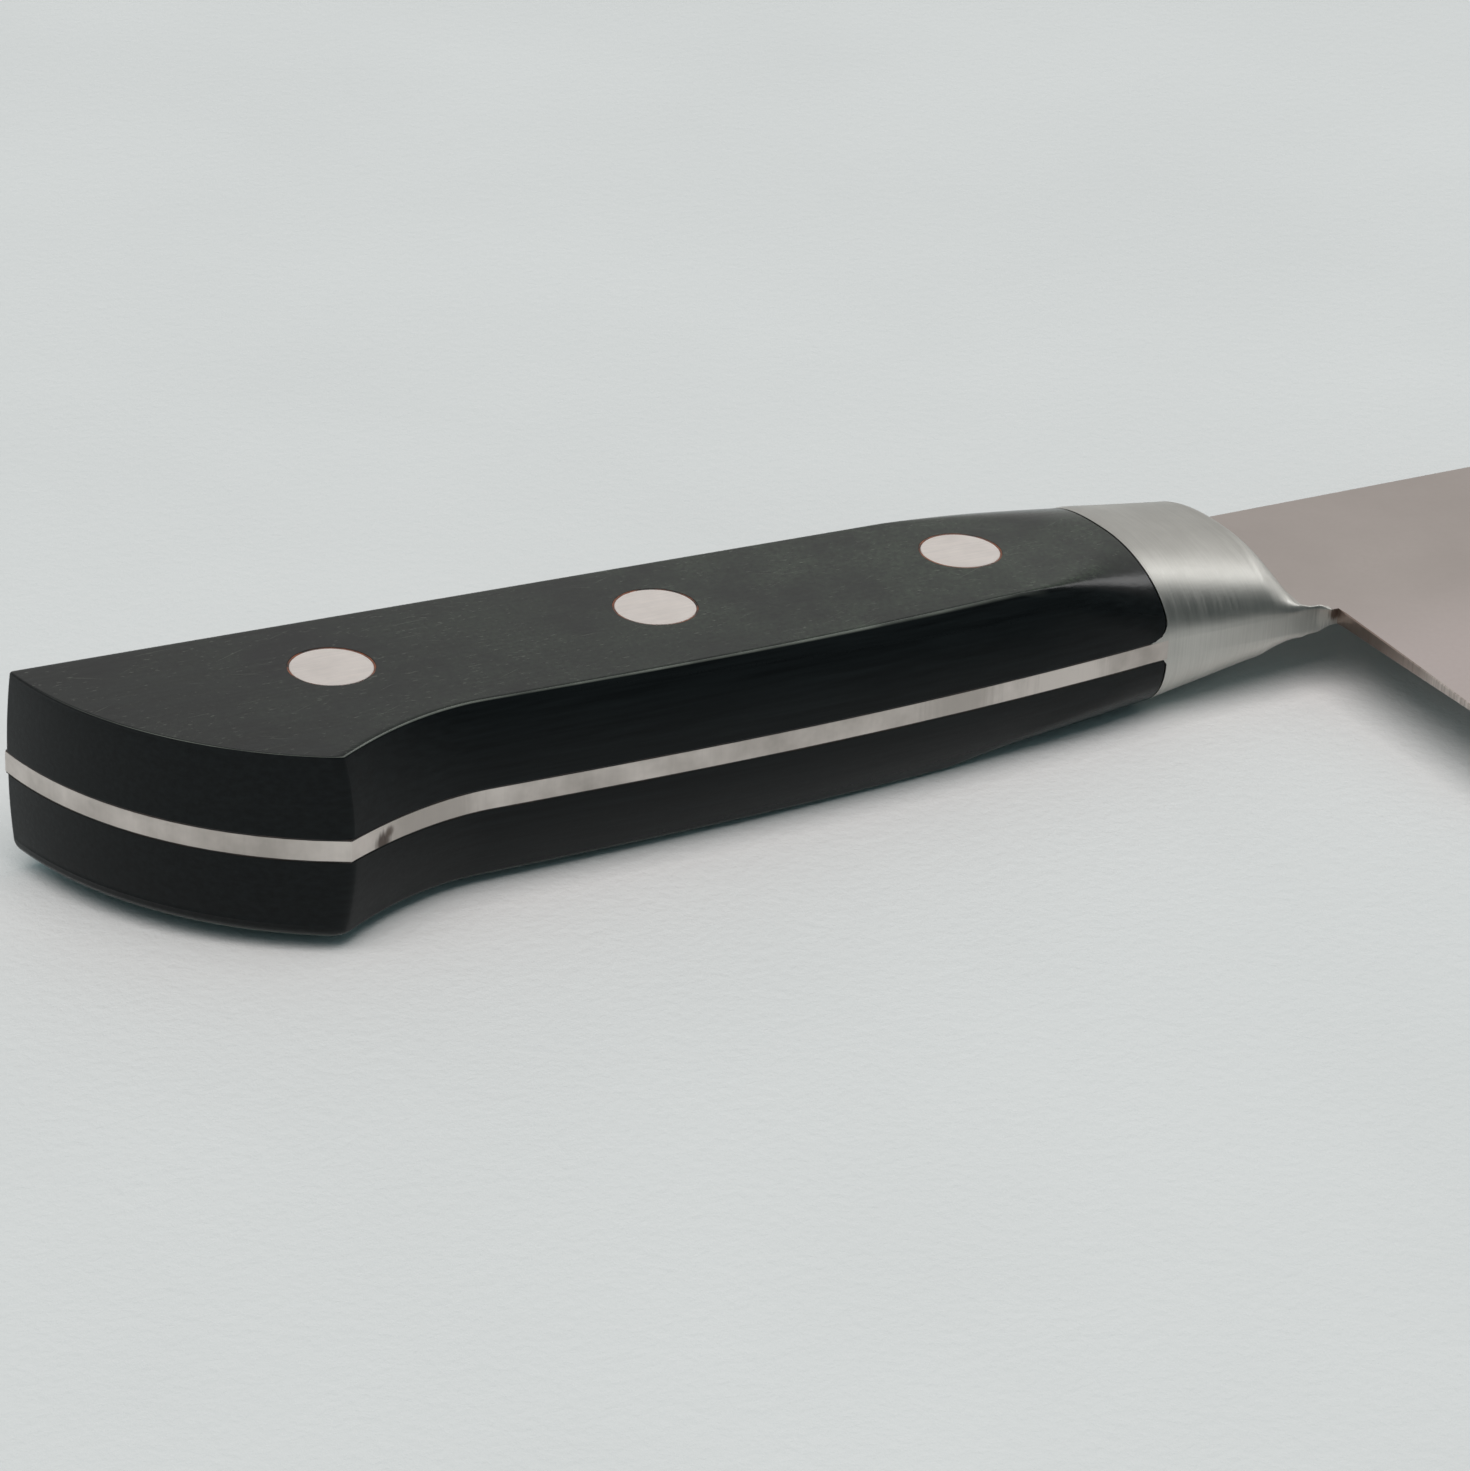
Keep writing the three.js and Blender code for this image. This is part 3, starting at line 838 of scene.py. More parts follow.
@dataclass
class Blank:
    """The one piece of steel that is blade, bolster core and tang."""

    handle: HandleForm
    blade: BladeForm
    axes: KnifeAxes
    tang_steps: int = 110
    core_steps: int = 24
    blade_steps: int = 220
    across_steps: int = 20
    grind_steps: int = 26
    edge_bevel: float = 0.45
    edge_keen: float = 0.012
    corner_break: float = 0.1
    choil_ease: float = 1.0
    heel_ease: float = 6.0

    def core_low(self, x: Any) -> Any:
        """Y of the core's lower edge between joint and choil."""
        settled = lerp(-self.handle.joint_drop, self.blade.choil_y, x / self.blade.start)
        return settled + self.handle.belly_edge(x, 0.0) + self.handle.joint_drop

    def core_high(self, x: Any) -> Any:
        """Y of the core's upper edge between joint and blade."""
        return lerp(self.handle.joint_rise, self.blade.spine_rise, x / self.blade.start)

    def tang_plan(self) -> np.ndarray:
        """Draws the tang's plan.

        Returns:
            Points by station and column, from the belly to the spine.
        """
        along = np.linspace(0, 1, self.tang_steps + 1)[:, None]
        across = np.linspace(0, 1, self.across_steps + 1)[None, :]
        return np.stack(self.handle.plan(along, across, 0.0, 0.0), axis=-1)

    def core_plan(self) -> np.ndarray:
        """Draws the plan of the core under the bolster.

        Returns:
            Points by station and column, from the belly to the spine.
        """
        x = np.linspace(0, self.blade.start, self.core_steps + 1)[:, None]
        across = np.linspace(0, 1, self.across_steps + 1)[None, :]
        y = lerp(self.core_low(x), self.core_high(x), across)
        return np.stack([x + 0 * across, y], axis=-1)

    def blade_plan(self) -> np.ndarray:
        """Draws the blade's plan.

        Returns:
            Points by station and column, from the cutting edge to the back.
        """
        form = self.blade
        run = np.linspace(0, 1, self.blade_steps + 1)[:, None]
        x = form.start + form.length * run
        edge = form.edge(x)
        spine = form.spine(x)
        choil_top = self.core_low(form.start)
        split = (choil_top - form.heel_y) / (form.spine_rise - form.heel_y)
        low = np.linspace(0, split, self.grind_steps + 1)
        high = np.linspace(split, 1, self.across_steps + 1)[1:]
        share = np.concatenate([low, high])[None, :]
        y = lerp(edge, spine, share)
        y[:, 1:2] = edge + np.minimum(self.edge_bevel, np.maximum(spine - edge, 0) * share[:, 1:2])
        broken = self.corner_break * smoothstep(choil_top - y[:1], 0, self.choil_ease)
        broken = broken * smoothstep(y[:1] - form.heel_y, 0, self.heel_ease)
        return np.stack([x + broken * np.clip(1 - run * self.blade_steps, 0, 1), y], axis=-1)

    def raised(self, plan: np.ndarray) -> np.ndarray:
        """Lifts a plan to the upper face of the steel."""
        return np.concatenate([plan, self.blade.half(plan[..., :1], plan[..., 1:])], axis=-1)

    def wall(self, rim: np.ndarray, set_in: Any = 0.0) -> np.ndarray:
        """Spans the narrow face round the steel, with its corners broken.

        Args:
            rim: Points along the upper rim.
            set_in: How far each point stands in from the wall, and how far the corner reaches down it.

        Returns:
            Points by height and place along the rim.
        """
        outer = rim.copy()
        outer[:, 0] -= set_in
        outer[:, 2] -= set_in
        return np.stack([rim, outer, outer * Side.LEFT.flip, rim * Side.LEFT.flip])

    def build(self, finishes: Mapping[int, bpy.types.Material]) -> bpy.types.Object:
        """Builds and dresses the blank.

        Args:
            finishes: The blade's flanks, the ground edges, the core's edges, which are finished
                with the bolster, and the coarse choil.

        Returns:
            The piece.
        """
        tang, core, blade = (self.raised(plan) for plan in (
            self.tang_plan(), self.core_plan(), self.blade_plan()))
        blade[:, 0, 2] = self.edge_keen
        blade[-1, :, 2] = self.edge_keen
        skin = Skin()
        for sheet in (tang, core, blade):
            skin.sheet(sheet, FACE)
            skin.sheet(sheet * Side.LEFT.flip, FACE)
        for rim in (tang[:, 0], tang[:, -1], tang[0], blade[:, -1], blade[:, 0]):
            skin.sheet(self.wall(rim), GROUND)
        for rim in (core[:, 0], core[:, -1]):
            skin.sheet(self.wall(rim), SATIN)
        choil = blade[0, :self.grind_steps + 1]
        skin.sheet(self.wall(choil, choil[:, 0] - self.blade.start), COARSE)
        piece = skin.sew("knife_blank", self.axes, *(finishes[at] for at in sorted(finishes)))
        depth = 4 * BLANK_HALF
        hole = [(0, -depth), (BARREL_BORE, -depth), (BARREL_BORE, depth), (0, depth)]
        bore(piece, self.axes, Side.RIGHT, {x: hole for x in RIVET_PLACES.values()})
        smooth(piece)
        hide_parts("blade_and_tang")
        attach(piece, BODY)
        return piece


@dataclass
class Ring:
    """Points round a section, from the belly up, over the top and down to the spine."""

    wall_steps: int = 20
    top_steps: int = 40
    crowding: float = 2.1

    @property
    def count(self) -> int:
        """How many points the ring has."""
        return 2 * self.wall_steps + self.top_steps + 1

    @property
    def sides(self) -> np.ndarray:
        """The half that each point is on, from -1 at the belly to 1 at the spine."""
        return np.sign(np.arange(self.count) - self.wall_steps - self.top_steps // 2)

    def section(self, power: Any, foot: Any, wide_corner: Any = 1.0,
                high_corner: Any = 1.0) -> tuple[np.ndarray, np.ndarray]:
        """Shapes a section with round corners.

        Args:
            power: The exponent of the superellipse that rounds the corner, at each point.
            foot: The share of height at which the ring starts.
            wide_corner: The share of the half width that the rounded corner takes.
            high_corner: The share of the height that it takes.

        Returns:
            Shares of the half width and of the height, at each point.
        """
        rise = 1 - (1 - np.linspace(0, 1, self.wall_steps + 1)) ** self.crowding
        fall = 1 - np.linspace(0, 1, self.top_steps // 2 + 1)[1:] ** self.crowding
        half = np.concatenate([rise, fall])
        climb = np.concatenate([half, half[:-1][::-1]])
        order = np.arange(self.count)
        on_wall = (order <= self.wall_steps) | (order >= self.count - 1 - self.wall_steps)
        turn = 2 ** (-1 / power)
        flat, upright = 1 - wide_corner, 1 - high_corner
        high_wall = lerp(foot, upright + high_corner * turn, climb)
        up = np.clip((high_wall - upright) / high_corner, 0, 1)
        wide_wall = flat + wide_corner * (1 - up ** power) ** (1 / power)
        wide_top = (flat + wide_corner * turn) * climb
        out = np.clip((wide_top - flat) / wide_corner, 0, 1)
        high_top = upright + high_corner * (1 - out ** power) ** (1 / power)
        return np.where(on_wall, wide_wall, wide_top), np.where(on_wall, high_wall, high_top)

    def close(self, skin: np.ndarray, bed: np.ndarray, side: Side) -> Skin:
        """Closes one half of the handle.

        Args:
            skin: Points of the outer skin, by station and place on the ring.
            bed: Points of the bed, by station and place across.
            side: The side of the knife.

        Returns:
            The half, ready to sew.
        """
        body = Skin()
        body.sheet(skin * side.flip)
        body.sheet(bed * side.flip)
        steps = self.wall_steps
        for end in (0, -1):
            rim = skin[end]
            face = end_face(rim[:steps + 1], rim[-steps - 1:][::-1], bed[end], rim[steps:-steps])
            body.sheet(face * side.flip)
        return body


@dataclass(frozen=True)
class EdgeEase:
    """How an edge of a scale opens from a crisp corner to the bolster's oval."""

    run: float
    wide_power: float
    high_power: float

    def grown(self, x: Any) -> tuple[Any, Any]:
        """How far the corner has grown across and in height, from 0 to 1."""
        share = np.clip(1 + np.asarray(x, float) / self.run, 0, 1)
        return share ** self.wide_power, share ** self.high_power


@dataclass
class Scale:
    """One of the two black scales that are riveted to the tang."""

    handle: HandleForm
    side: Side
    axes: KnifeAxes
    joint_gap: float = 0.2
    crisp: float = 0.22
    crisp_power: float = 2.0
    belly: EdgeEase = EdgeEase(18.0, 2.0, 1.0)
    spine: EdgeEase = EdgeEase(18.0, 1.5, 1.5)
    station_steps: int = 96
    corner_steps: int = 8
    corner_round: float = 0.45
    flat_round: float = 0.15
    head_bore: float = 3.68
    seat_depth: float = 1.75
    ring: Ring = field(default_factory=Ring)

    def section(self, x: np.ndarray) -> tuple[np.ndarray, np.ndarray]:
        """Shapes the section, whose edges open from crisp ones to the bolster's oval.

        Args:
            x: X of each point, by station and place on the ring.

        Returns:
            Shares of the half width and of the height.
        """
        form = self.handle
        below = self.ring.sides < 0
        wide, high = (np.where(below, *pair) for pair in zip(self.belly.grown(x), self.spine.grown(x)))
        power = lerp(self.crisp_power, np.where(below, form.belly_round, form.spine_round), wide)
        height = form.top(x) - BLANK_HALF
        half_width = (form.joint_rise + form.joint_drop) / 2
        return self.ring.section(power, (BED_TOP - BLANK_HALF) / height,
                                 lerp(self.crisp / half_width, 1, wide), lerp(self.crisp / height, 1, high))

    def surface(self) -> tuple[np.ndarray, np.ndarray]:
        """Shapes the outer skin and the bed against the tang.

        Returns:
            Both as grids of points, by station and place across.
        """
        form = self.handle
        ring = self.ring
        widest = max(self.corner_round, self.flat_round)
        near = widest * (1 - np.cos(np.linspace(0, 1, self.corner_steps) * math.pi / 2))
        run = np.concatenate([near[:-1], np.linspace(widest, form.length, self.station_steps)])[:, None]
        end_wide, end_high = self.section(np.zeros(ring.count))
        lean = form.joint_skew * (0.5 + ring.sides * end_wide / 2)
        front = form.fillet(lerp(BLANK_HALF, form.joint_height, end_high)) - self.joint_gap - lean
        along = run / form.length
        from_joint = lerp(-form.length, front[None, :], along) + lean * along
        height = form.top(from_joint) - BLANK_HALF
        wide, high = self.section(from_joint)
        side_in, flat_in = (radius - np.sqrt(radius ** 2 - np.clip(radius - run, 0, None) ** 2)
                            for radius in (self.corner_round, self.flat_round))
        wide = wide * (1 - side_in / ((form.butt_rise + form.hook_drop) / 2))
        raised = np.maximum(high * (1 - flat_in / height), (BED_TOP - BLANK_HALF) / height)
        x, y = form.plan(along, 0.5 + ring.sides * wide / 2, high, front[None, :])
        skin = np.stack([x, y, BLANK_HALF + height * raised], axis=-1)
        spread = (ring.sides * wide)[:, ring.wall_steps:ring.wall_steps + ring.top_steps + 1]
        spread = spread / np.where(spread < 0, np.abs(spread[:, :1]), spread[:, -1:])
        across = 0.5 + spread * np.where(spread < 0, wide[:, :1], wide[:, -1:]) / 2
        bed_x, bed_y = form.plan(along, across, high[:, :1], lerp(front[0], front[-1], across))
        bed = np.stack([bed_x, bed_y, bed_x * 0 + BED_TOP], axis=-1)
        bed[:, 0] = skin[:, 0]
        bed[:, -1] = skin[:, -1]
        return skin, bed

    def hole(self, x: float) -> list[tuple[float, float]]:
        """Draws the stepped hole for a rivet.

        Args:
            x: X of the rivet.

        Returns:
            Radius and height of each point of the hole's profile.
        """
        seat = float(self.handle.top(x)) - self.seat_depth
        above = self.handle.butt_thickness
        return [(0, 0), (BARREL_BORE, 0), (BARREL_BORE, seat), (self.head_bore, seat),
                (self.head_bore, above), (0, above)]

    def build(self, wood: bpy.types.Material) -> bpy.types.Object:
        """Builds and dresses the scale.

        Args:
            wood: The scale's material.

        Returns:
            The piece.
        """
        body = self.ring.close(*self.surface(), self.side)
        piece = body.sew(f"handle_scale_{self.side.word}", self.axes, wood)
        bore(piece, self.axes, self.side, {x: self.hole(x) for x in RIVET_PLACES.values()})
        smooth(piece)
        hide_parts(f"scale_{self.side.word}")
        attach(piece, BODY)
        return piece


@dataclass
class Bolster:
    """One half of the bolster, which swells out of the blank without a seam."""

    handle: HandleForm
    blank: Blank
    side: Side
    shoulder_x: float = 10.5
    shoulder_height: float = 5.72
    shoulder_round: float = 1.95
    # At the belly, in the middle and at the spine.
    slope_start: tuple[float, float, float] = (9.96, 11.31, 10.05)
    slope_length: tuple[float, float, float] = (4.99, 4.29, 4.54)
    # The toe is a crest that the slope leaves standing beside the choil.
    toe_share: float = 0.137
    toe_width: float = 0.055
    toe_end: float = 15.8
    toe_run: tuple[float, float] = (11.5, 14.8)
    toe_corner: float = 0.04
    setback: float = 0.4
    toe_sink: float = 0.02
    bed_sink: float = 0.35
    bed_ease: float = 0.05
    station_steps: int = 90
    ring: Ring = field(default_factory=Ring)

    def surface(self) -> tuple[np.ndarray, np.ndarray]:
        """Shapes the outer skin and the bed inside the blank.

        Returns:
            Both as grids of points, by station and place across.
        """
        form = self.handle
        ring = self.ring
        start = self.blank.blade.start
        along = np.linspace(0, 1, self.station_steps + 1)[:, None]
        settled = np.clip(along * start / self.shoulder_x, 0, 1)
        below = lerp(form.belly_round, self.shoulder_round, settled)
        crisp = lerp(1.0, self.toe_corner, smoothstep(along * start, *self.toe_run))
        wide, high = ring.section(np.where(ring.sides < 0, below, form.spine_round), 0.0,
                                  np.where(ring.sides < 0, crisp, 1.0))
        across = 0.5 + ring.sides * wide / 2
        front = start - lerp(self.setback, 0, across)
        back = form.fillet(lerp(BLANK_HALF, form.joint_height, high[:1])) - form.joint_skew * across[:1]
        x = lerp(back, front, along)
        y = lerp(self.blank.core_low(x), self.blank.core_high(x), across)
        slope = (x - through(*self.slope_start, across)) / through(*self.slope_length, across)
        fallen = (1 + np.cos(math.pi * np.clip(slope, 0, 1))) / 2
        toe = self.toe_share * (1 - smoothstep(across, 0, self.toe_width))
        held = 1 - smoothstep(x, self.toe_end, start - self.setback)
        fall = lerp(fallen, held, toe)
        climb = np.clip(x / self.shoulder_x, 0, 1)
        height = lerp(form.joint_height, self.shoulder_height, climb) - BLANK_HALF
        lift = height * fall - self.toe_sink * (1 - fall)
        skin = np.stack([x, y, self.blank.blade.half(x, y) + high * lift], axis=-1)
        share = np.linspace(0, 1, ring.top_steps + 1)[None, :, None]
        bed = lerp(skin[:, :1], skin[:, -1:], share)
        depth = self.bed_sink * np.clip(np.minimum(share, 1 - share) / self.bed_ease, 0, 1)
        bed[..., 2] -= depth[..., 0]
        return skin, bed

    def build(self, steel: bpy.types.Material) -> bpy.types.Object:
        """Builds and dresses the bolster's half.

        Args:
            steel: The bolster's material.

        Returns:
            The piece.
        """
        body = self.ring.close(*self.surface(), self.side)
        piece = body.sew(f"bolster_half_{self.side.word}", self.blank.axes, steel)
        smooth(piece)
        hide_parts(f"bolster_{self.side.word}")
        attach(piece, BODY)
        return piece


@dataclass
class Bedding:
    """The thin layer of resin between a scale and the tang."""

    handle: HandleForm
    side: Side
    axes: KnifeAxes
    recess: float = 0.04
    station_steps: int = 90
    across_steps: int = 16

    def build(self, resin: bpy.types.Material) -> bpy.types.Object:
        """Builds and dresses the layer.

        Args:
            resin: The layer's material.

        Returns:
            The piece.
        """
        form = self.handle
        narrow = self.recess / (form.joint_rise + form.joint_drop)
        along = np.linspace(self.recess / form.length, 1, self.station_steps + 1)[:, None]
        across = np.linspace(narrow, 1 - narrow, self.across_steps + 1)[None, :]
        x, y = form.plan(along, across, 0.0, form.fillet(BLANK_HALF) - form.joint_skew * across)
        low = np.stack([x, y, np.full_like(x, BLANK_HALF)], axis=-1) * self.side.flip
        high = np.stack([x, y, np.full_like(x, BED_TOP)], axis=-1) * self.side.flip
        body = Skin()
        body.sheet(low)
        body.sheet(high)
        for rim in (np.s_[:, 0], np.s_[:, -1], np.s_[0, :], np.s_[-1, :]):
            body.sheet(np.stack([low[rim], high[rim]]))
        piece = body.sew(f"resin_bed_{self.side.word}", self.axes, resin)
        above = 2 * BED_TOP
        hole = [(0, 0), (BARREL_BORE, 0), (BARREL_BORE, above), (0, above)]
        bore(piece, self.axes, self.side, {at: hole for at in RIVET_PLACES.values()})
        smooth(piece)
        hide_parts(f"adhesive_{self.side.word}")
        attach(piece, BODY)
        return piece


@dataclass
class Rivet:
    """A two-part rivet whose heads are ground flush with the scales."""

    handle: HandleForm
    axes: KnifeAxes
    word: str
    x: float
    head_radius: float = 3.5
    head_thickness: float = 1.6
    head_break: float = 0.06
    barrel_radius: float = 2.5
    bore_radius: float = 1.8
    shank_radius: float = 1.7
    barrel_end: float = -2.5
    shank_end: float = -2.4
    ring_gap: float = 0.005
    ring_radius: float = 3.66
    ring_depth: float = 0.5
    ring_sink: float = 0.012

    def flush(self, profile: Sequence[tuple[float, float]]) -> np.ndarray:
        """Turns a profile whose height 0 lies on the scale's surface.

        Args:
            profile: Radius and height of each point.

        Returns:
            A grid of points, by profile point and step.
        """
        grid = lathe(profile, self.x)
        grid[..., 2] += self.handle.top(grid[..., 0])
        return grid

    def half(self, part: RivetHalf, metal: bpy.types.Material) -> bpy.types.Object:
        """Builds and dresses one half.

        Args:
            part: Which half.
            metal: The rivet's material.

        Returns:
            The piece.
        """
        hollow = part is RivetHalf.FEMALE
        neck = self.barrel_radius if hollow else self.shank_radius
        end = self.barrel_end if hollow else self.shank_end
        rim = self.head_radius - self.head_break
        head = self.flush([
            (0, 0), (rim / 2, 0), (rim, 0), (self.head_radius, -self.head_break),
            (self.head_radius, -self.head_thickness), (neck, -self.head_thickness)])
        tip = [(neck, end), (0, end)]
        if hollow:
            deep = float(self.handle.top(self.x)) - self.head_thickness
            tip = [(neck, end), (self.bore_radius, end), (self.bore_radius, deep), (0, deep)]
        inner = lathe(tip, self.x)
        skin = Skin()
        for sheet in (head, np.stack([head[-1], inner[0]]), inner):
            skin.sheet(sheet * part.side.flip)
        piece = skin.sew(f"rivet_{self.word}_{part.value}_half", self.axes, metal)
        smooth(piece)
        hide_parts(f"rivet_{self.word}_{part.value}")
        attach(piece, BODY)
        return piece

    def glue_ring(self, side: Side, resin: bpy.types.Material) -> bpy.types.Object:
        """Builds the line of resin round a head.

        Args:
            side: The side of the knife.
            resin: The ring's material.

        Returns:
            The piece.
        """
        inner = self.head_radius + self.ring_gap
        start = (inner, -self.ring_sink)
        skin = Skin()
        skin.sheet(side.flip * self.flush([
            start, (self.ring_radius, -self.ring_sink / 2), (self.ring_radius, -self.ring_depth),
            (inner, -self.ring_depth), start]))
        piece = skin.sew(f"resin_ring_{self.word}_{side.word}", self.axes, resin)
        smooth(piece)
        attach(piece, BODY)
        return piece


class Role(Enum):
    """What a soft box does: lights matt surfaces, or stands in reflections."""

    LIGHTS = "lights"
    REFLECTS = "reflects"


@dataclass(frozen=True)
class SoftBox:
    """A soft lamp aimed at the joint of scales and bolster, with its length along a line."""

    name: str
    towards: tuple[float, float, float]
    along: tuple[float, float, float]
    size: tuple[float, float]
    radiance: float
    role: Role
    tint: str = "#ffffff"
    distance: float = 8000.0

    def hang(self, axes: KnifeAxes) -> None:
        """Hangs the lamp.

        Args:
            axes: Where the knife stands.
        """
        towards = Vector(self.towards).normalized()
        along = Vector(self.along)
        along = (along - towards * towards.dot(along)).normalized()
        data = bpy.data.lights.new(self.name, "AREA")
        data.shape = "RECTANGLE"
        data.size, data.size_y = (side * MM for side in self.size)
        # Blender's area lamp gives a quarter of its energy, over its area, as radiance.
        data.energy = 4 * self.radiance * data.size * data.size_y
        data.color = linear(self.tint)[:3]
        lamp = bpy.data.objects.new(self.name, data)
        lamp.visible_diffuse = self.role is Role.LIGHTS
        lamp.visible_glossy = self.role is Role.REFLECTS
        turn = Matrix((along, towards.cross(along), towards)).transposed()
        lamp.matrix_world = Matrix.Translation(axes.metres(towards * self.distance)) @ turn.to_4x4()
        bpy.context.scene.collection.objects.link(lamp)


@dataclass
class Studio:
    """The board the knife lies on, the soft light and the camera."""

    handle: HandleForm
    blade: BladeForm
    axes: KnifeAxes
    board_reach: float = 6000.0
    clearance: float = 0.03
    camera_at: tuple[float, float, float] = (-235.338, -349.540, 195.232)
    heading: float = 29.584
    looking_down: float = 26.588
    roll: float = 2.620
    focal_pixels: float = 5200.0
    boxes: tuple[SoftBox, ...] = (
        SoftBox("key_box", (-0.2, -0.27, 1.0), (1.0, 0.0, 0.0), (9000.0, 7000.0),
                3.0, Role.LIGHTS, "#ffefed"),
        SoftBox("edge_box", (0.685, 0.162, 0.71), (0.676, 0.237, -0.697), (5900.0, 1280.0),
                2.9, Role.REFLECTS),
    )
    room: str = "#cfcdcb"
    # A dark flag stands off the cutting edge, where the handle's belly reflects it.
    flag: str = "#4a5050"
    flag_towards: tuple[float, float, float] = (0.5, -0.78, 0.38)
    flag_edge: tuple[float, float] = (0.4, 0.7)
    fill: str = "#87a1a5"

    def board_height(self, x: float) -> float:
        """Finds Z of the board, which the scale's front end and the point touch.

        Args:
            x: X of the point.

        Returns:
            Z of the point.
        """
        rear_x = -self.handle.flat_end
        rear_z = -float(self.handle.top(rear_x))
        share = (x - rear_x) / (self.blade.point_x - rear_x)
        return lerp(rear_z, -self.blade.point_half, share) - self.clearance

    def lay_board(self, paint: PaintedBoard) -> bpy.types.Object:
        """Lays the board under the knife.

        Args:
            paint: The board's finish.

        Returns:
            The board.
        """
        ends = (-self.board_reach, self.board_reach)
        skin = Skin()
        skin.sheet(np.array([[(x, y, self.board_height(x)) for y in ends] for x in ends]))
        board = skin.sew("board", self.axes, paint.make())
        return board

    def light(self) -> None:
        """Hangs the soft lamps and sets the room round them.

        The camera and reflections see the room with its dark flag. All else gets the cool fill.
        """
        for box in self.boxes:
            box.hang(self.axes)
        world = bpy.data.worlds.new("studio")
        bpy.context.scene.world = world
        world.use_nodes = True
        tree = world.node_tree
        ray = add_node(tree, "TexCoord", {}, "Generated")
        facing = add_node(tree, "VectorMath", {
            0: ray, 1: self.flag_towards}, "Value", operation="DOT_PRODUCT")
        flagged = add_node(tree, "MapRange", {
            "Value": facing, "From Min": self.flag_edge[0], "From Max": self.flag_edge[1],
        }, interpolation_type="SMOOTHSTEP")
        seen = add_node(tree, "LightPath", {}, "Is Camera Ray")
        for kind in ("Is Glossy Ray", "Is Transmission Ray"):
            seen = add_node(tree, "Math", {
                0: seen, 1: add_node(tree, "LightPath", {}, kind)}, operation="MAXIMUM")
        light = add_node(tree, "Mix", {
            MIX_FACTOR: seen, MIX_A: linear(self.fill),
            MIX_B: lay_colours(tree, self.room, [(self.flag, [flagged])]),
        }, MIX_RESULT, data_type="RGBA")
        feed(tree.nodes["Background"], {"Color": light})

    def set_camera(self) -> None:
        """Stands the camera at the photograph's viewing angle."""
        data = bpy.data.cameras.new("camera")
        data.sensor_width = SENSOR_WIDTH
        data.lens = SENSOR_WIDTH * self.focal_pixels / IMAGE_LONG_SIDE
        data.clip_start = CLIP_START
        camera = bpy.data.objects.new("camera", data)
        turn = Matrix.Rotation(-math.radians(self.heading), 4, "Z")
        tilt = Matrix.Rotation(math.radians(90 - self.looking_down), 4, "X")
        roll = Matrix.Rotation(math.radians(self.roll), 4, "Z")
        camera.matrix_world = Matrix.Translation(self.axes.metres(self.camera_at)) @ turn @ tilt @ roll
        bpy.context.scene.collection.objects.link(camera)
        bpy.context.scene.camera = camera


# Grinding lines are 0.02 to 0.05 mm apart and are drawn 0.18 to 0.5 mm apart so that they show.
# The blade's flanks are ground on a stone: warm grey and matt, with a painted sheen that brightens them
# towards the edge.
BLADE_STEEL = GroundSteel(
    name="stainless_steel_stone_ground", clean="#c5bcb7", dull="#bcb3ae", roughness=0.42,
    line_spacing=(0.5, 0.5, 0.5), line_depth=0.002, line_contrast=0.3, cloud_size=18.0,
    painted_edge_sheen="#d2c7c4")
# The blank's narrow edges are ground brighter, in dull and clean stretches, and stained in one place.
EDGE_STEEL = GroundSteel(
    name="stainless_steel_edge_ground", clean="#d9d1cb", dull="#b0a9a3", roughness=0.4,
    line_spacing=(0.3, 0.3, 6.0), line_depth=0.004, line_contrast=0.12, cloud_size=7.0,
    spots=(Spot((-77.3, -14.6, -0.6), 1.1, "#3a2a22"), Spot((-76.6, -14.2, 0.1), 0.6, "#4a3a30"),
           Spot((-72.0, -13.0, 0.0), 5.0, "#b4ada7"), Spot((-22.5, -11.0, 0.0), 5.0, "#b4ada7"),
           Spot((-11.5, -10.5, 0.0), 5.0, "#dad2cc")))
# The choil is ground coarsely across, so that strong streaks cross it. It is browner and darker at its top,
# partly a brown stain and partly painted shade where it reflects the shadow under the bolster.
CHOIL_STEEL = GroundSteel(
    name="stainless_steel_choil_coarse_ground", clean="#dcd3cd", dull="#948981", roughness=0.4,
    line_spacing=(0.35, 0.35, 6.0), line_depth=0.01, line_contrast=1.4, cloud_size=5.0,
    # Brown stain and painted shade at the choil's top, by the bolster.
    spots=(Spot((17.7, -12.0, 0.0), 13.0, "#9a877e"),))
# The bolster is belt-ground round the handle: satin, with a broad highlight streaked across.
BOLSTER_STEEL = GroundSteel(
    name="stainless_steel_satin_belt_ground", clean="#cdccc7", dull="#b7b6b1", roughness=0.45,
    line_spacing=(0.18, 4.0, 4.0), line_depth=0.006, line_contrast=0.8, cloud_size=9.0,
    # A pale spot lies at the toe beside the choil, and a brown stain in the nick at its end.
    spots=(Spot((16.4, -10.9, 0.3), 1.3, "#f0eee8"), Spot((17.5, -11.1, 0.3), 0.8, "#4a3322")))
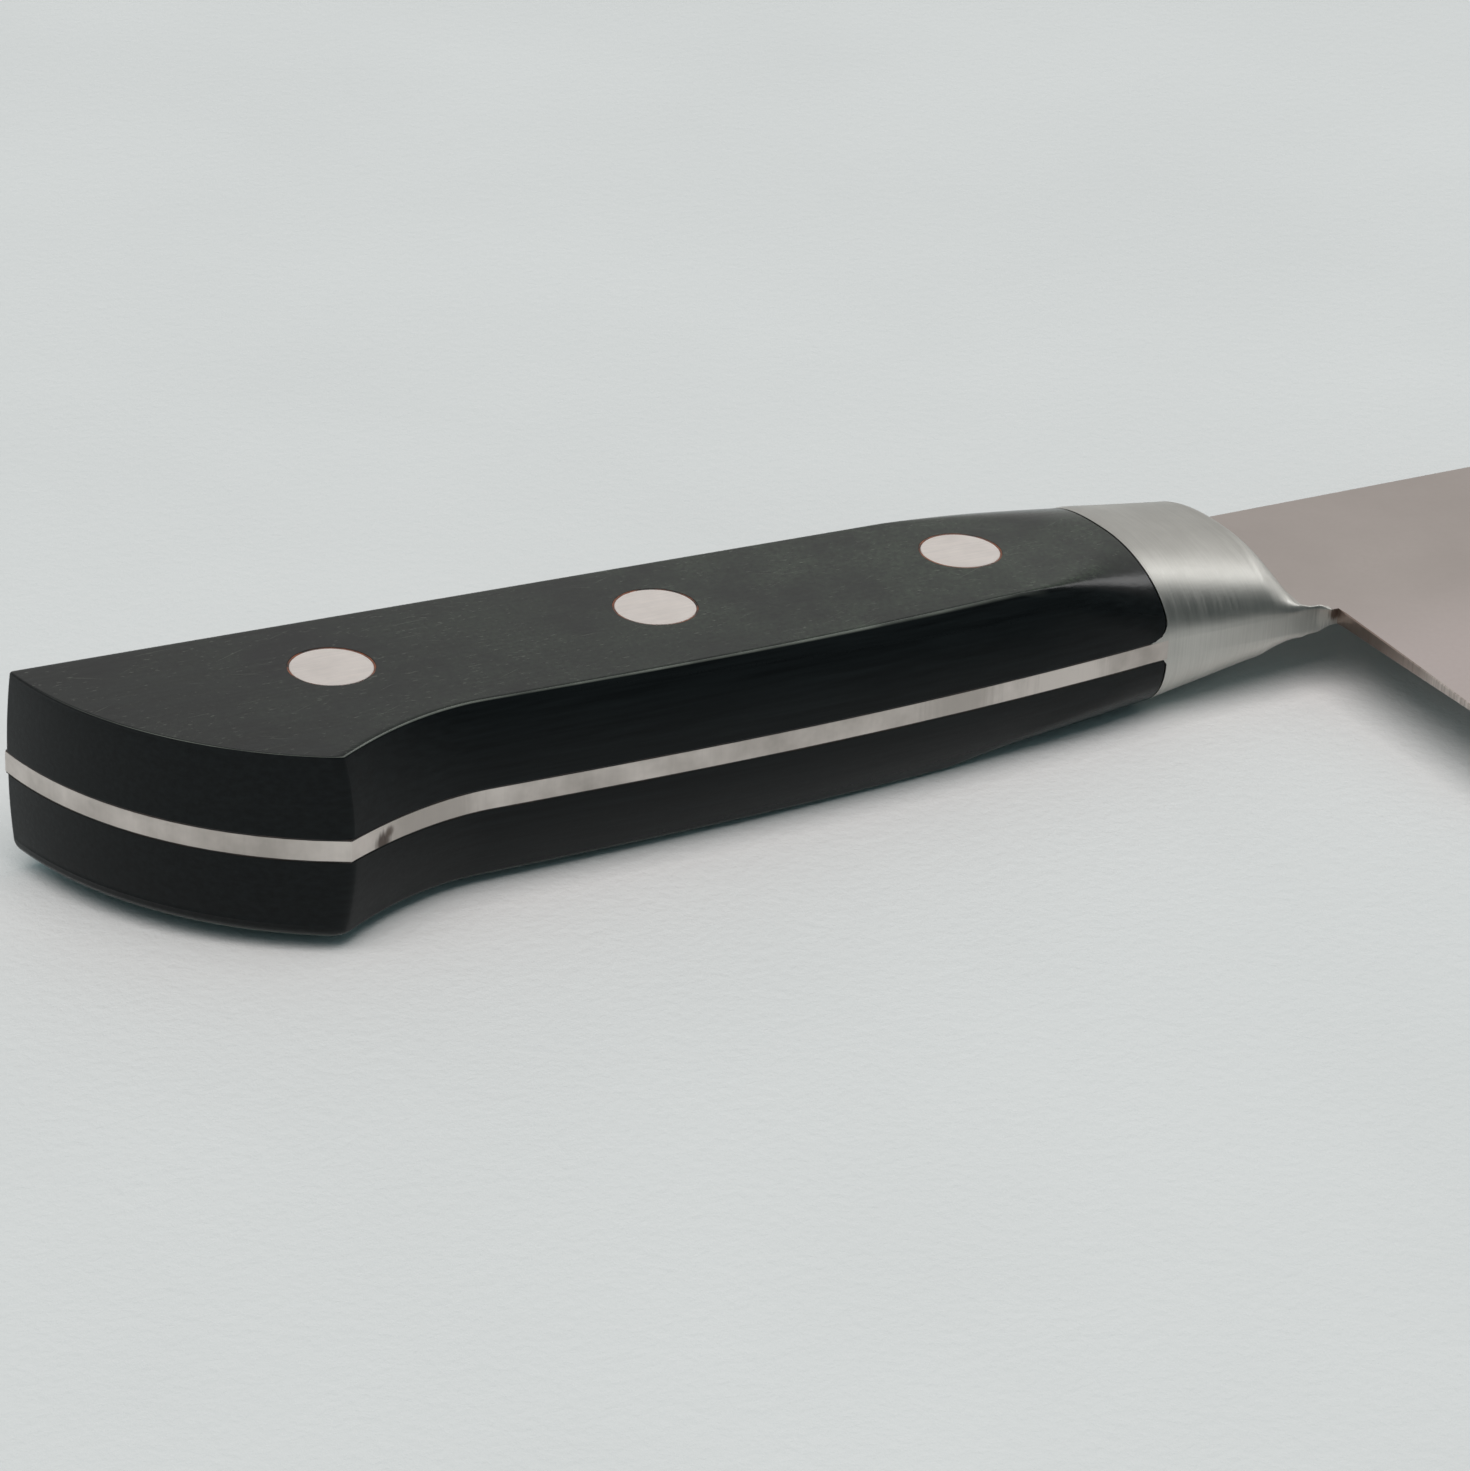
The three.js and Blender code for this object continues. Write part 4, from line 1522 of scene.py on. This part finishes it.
# Nickel silver is paler and warmer than the steel, and is sanded flush along the handle.
NICKEL_SILVER = GroundSteel(
    name="nickel_silver_ground_flush", clean="#fdf7f3", dull="#efe9e5", roughness=0.6,
    line_spacing=(3.0, 0.22, 3.0), line_depth=0.003, line_contrast=1.0, cloud_size=3.0)
BED_RESIN = BondingResin(
    name="bonding_resin_in_the_joint", thin="#0d0a09", thick="#2a1c14", patch_size=4.0)
RING_RESIN = BondingResin(
    name="bonding_resin_round_a_rivet", thin="#150e0a", thick="#7c4427", patch_size=2.2)


def main() -> None:
    """Builds the knife and its studio."""
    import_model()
    bpy.context.scene.view_settings.view_transform = "Standard"
    handle = HandleForm()
    blade = BladeForm()
    axes = KnifeAxes.from_frame(blade.point_x, blade.heel_y)
    studio = Studio(handle, blade, axes)
    studio.set_camera()
    studio.light()
    log.info("laid %s", studio.lay_board(PaintedBoard()).name)
    blank = Blank(handle, blade, axes)
    satin = BOLSTER_STEEL.make()
    log.info("made %s", blank.build({
        FACE: BLADE_STEEL.make(), GROUND: EDGE_STEEL.make(), SATIN: satin, COARSE: CHOIL_STEEL.make()}).name)
    wood = PressedWood().make()
    bed = BED_RESIN.make()
    line = RING_RESIN.make()
    silver = NICKEL_SILVER.make()
    # The lower scale's edges are rounded more than the upper one's, and its end is squarer and fuller.
    fuller = replace(handle, fillet_radius=0.4, joint_height=7.7, belly_round=2.5)
    scales = (
        Scale(handle, Side.RIGHT, axes),
        Scale(fuller, Side.LEFT, axes, crisp=0.5, belly=EdgeEase(26.0, 1.0, 1.0),
              corner_round=0.6, flat_round=1.3),
    )
    for scale in scales:
        log.info("made %s", Bolster(scale.handle, blank, scale.side).build(satin).name)
        log.info("made %s", scale.build(wood).name)
        log.info("made %s", Bedding(scale.handle, scale.side, axes).build(bed).name)
    for word, x in RIVET_PLACES.items():
        rivet = Rivet(handle, axes, word, x)
        for part in RivetHalf:
            log.info("made %s", rivet.half(part, silver).name)
        for side in Side:
            log.info("made %s", rivet.glue_ring(side, line).name)


if __name__ == "__main__":
    logging.basicConfig(level=logging.INFO, format="%(message)s")
    main()
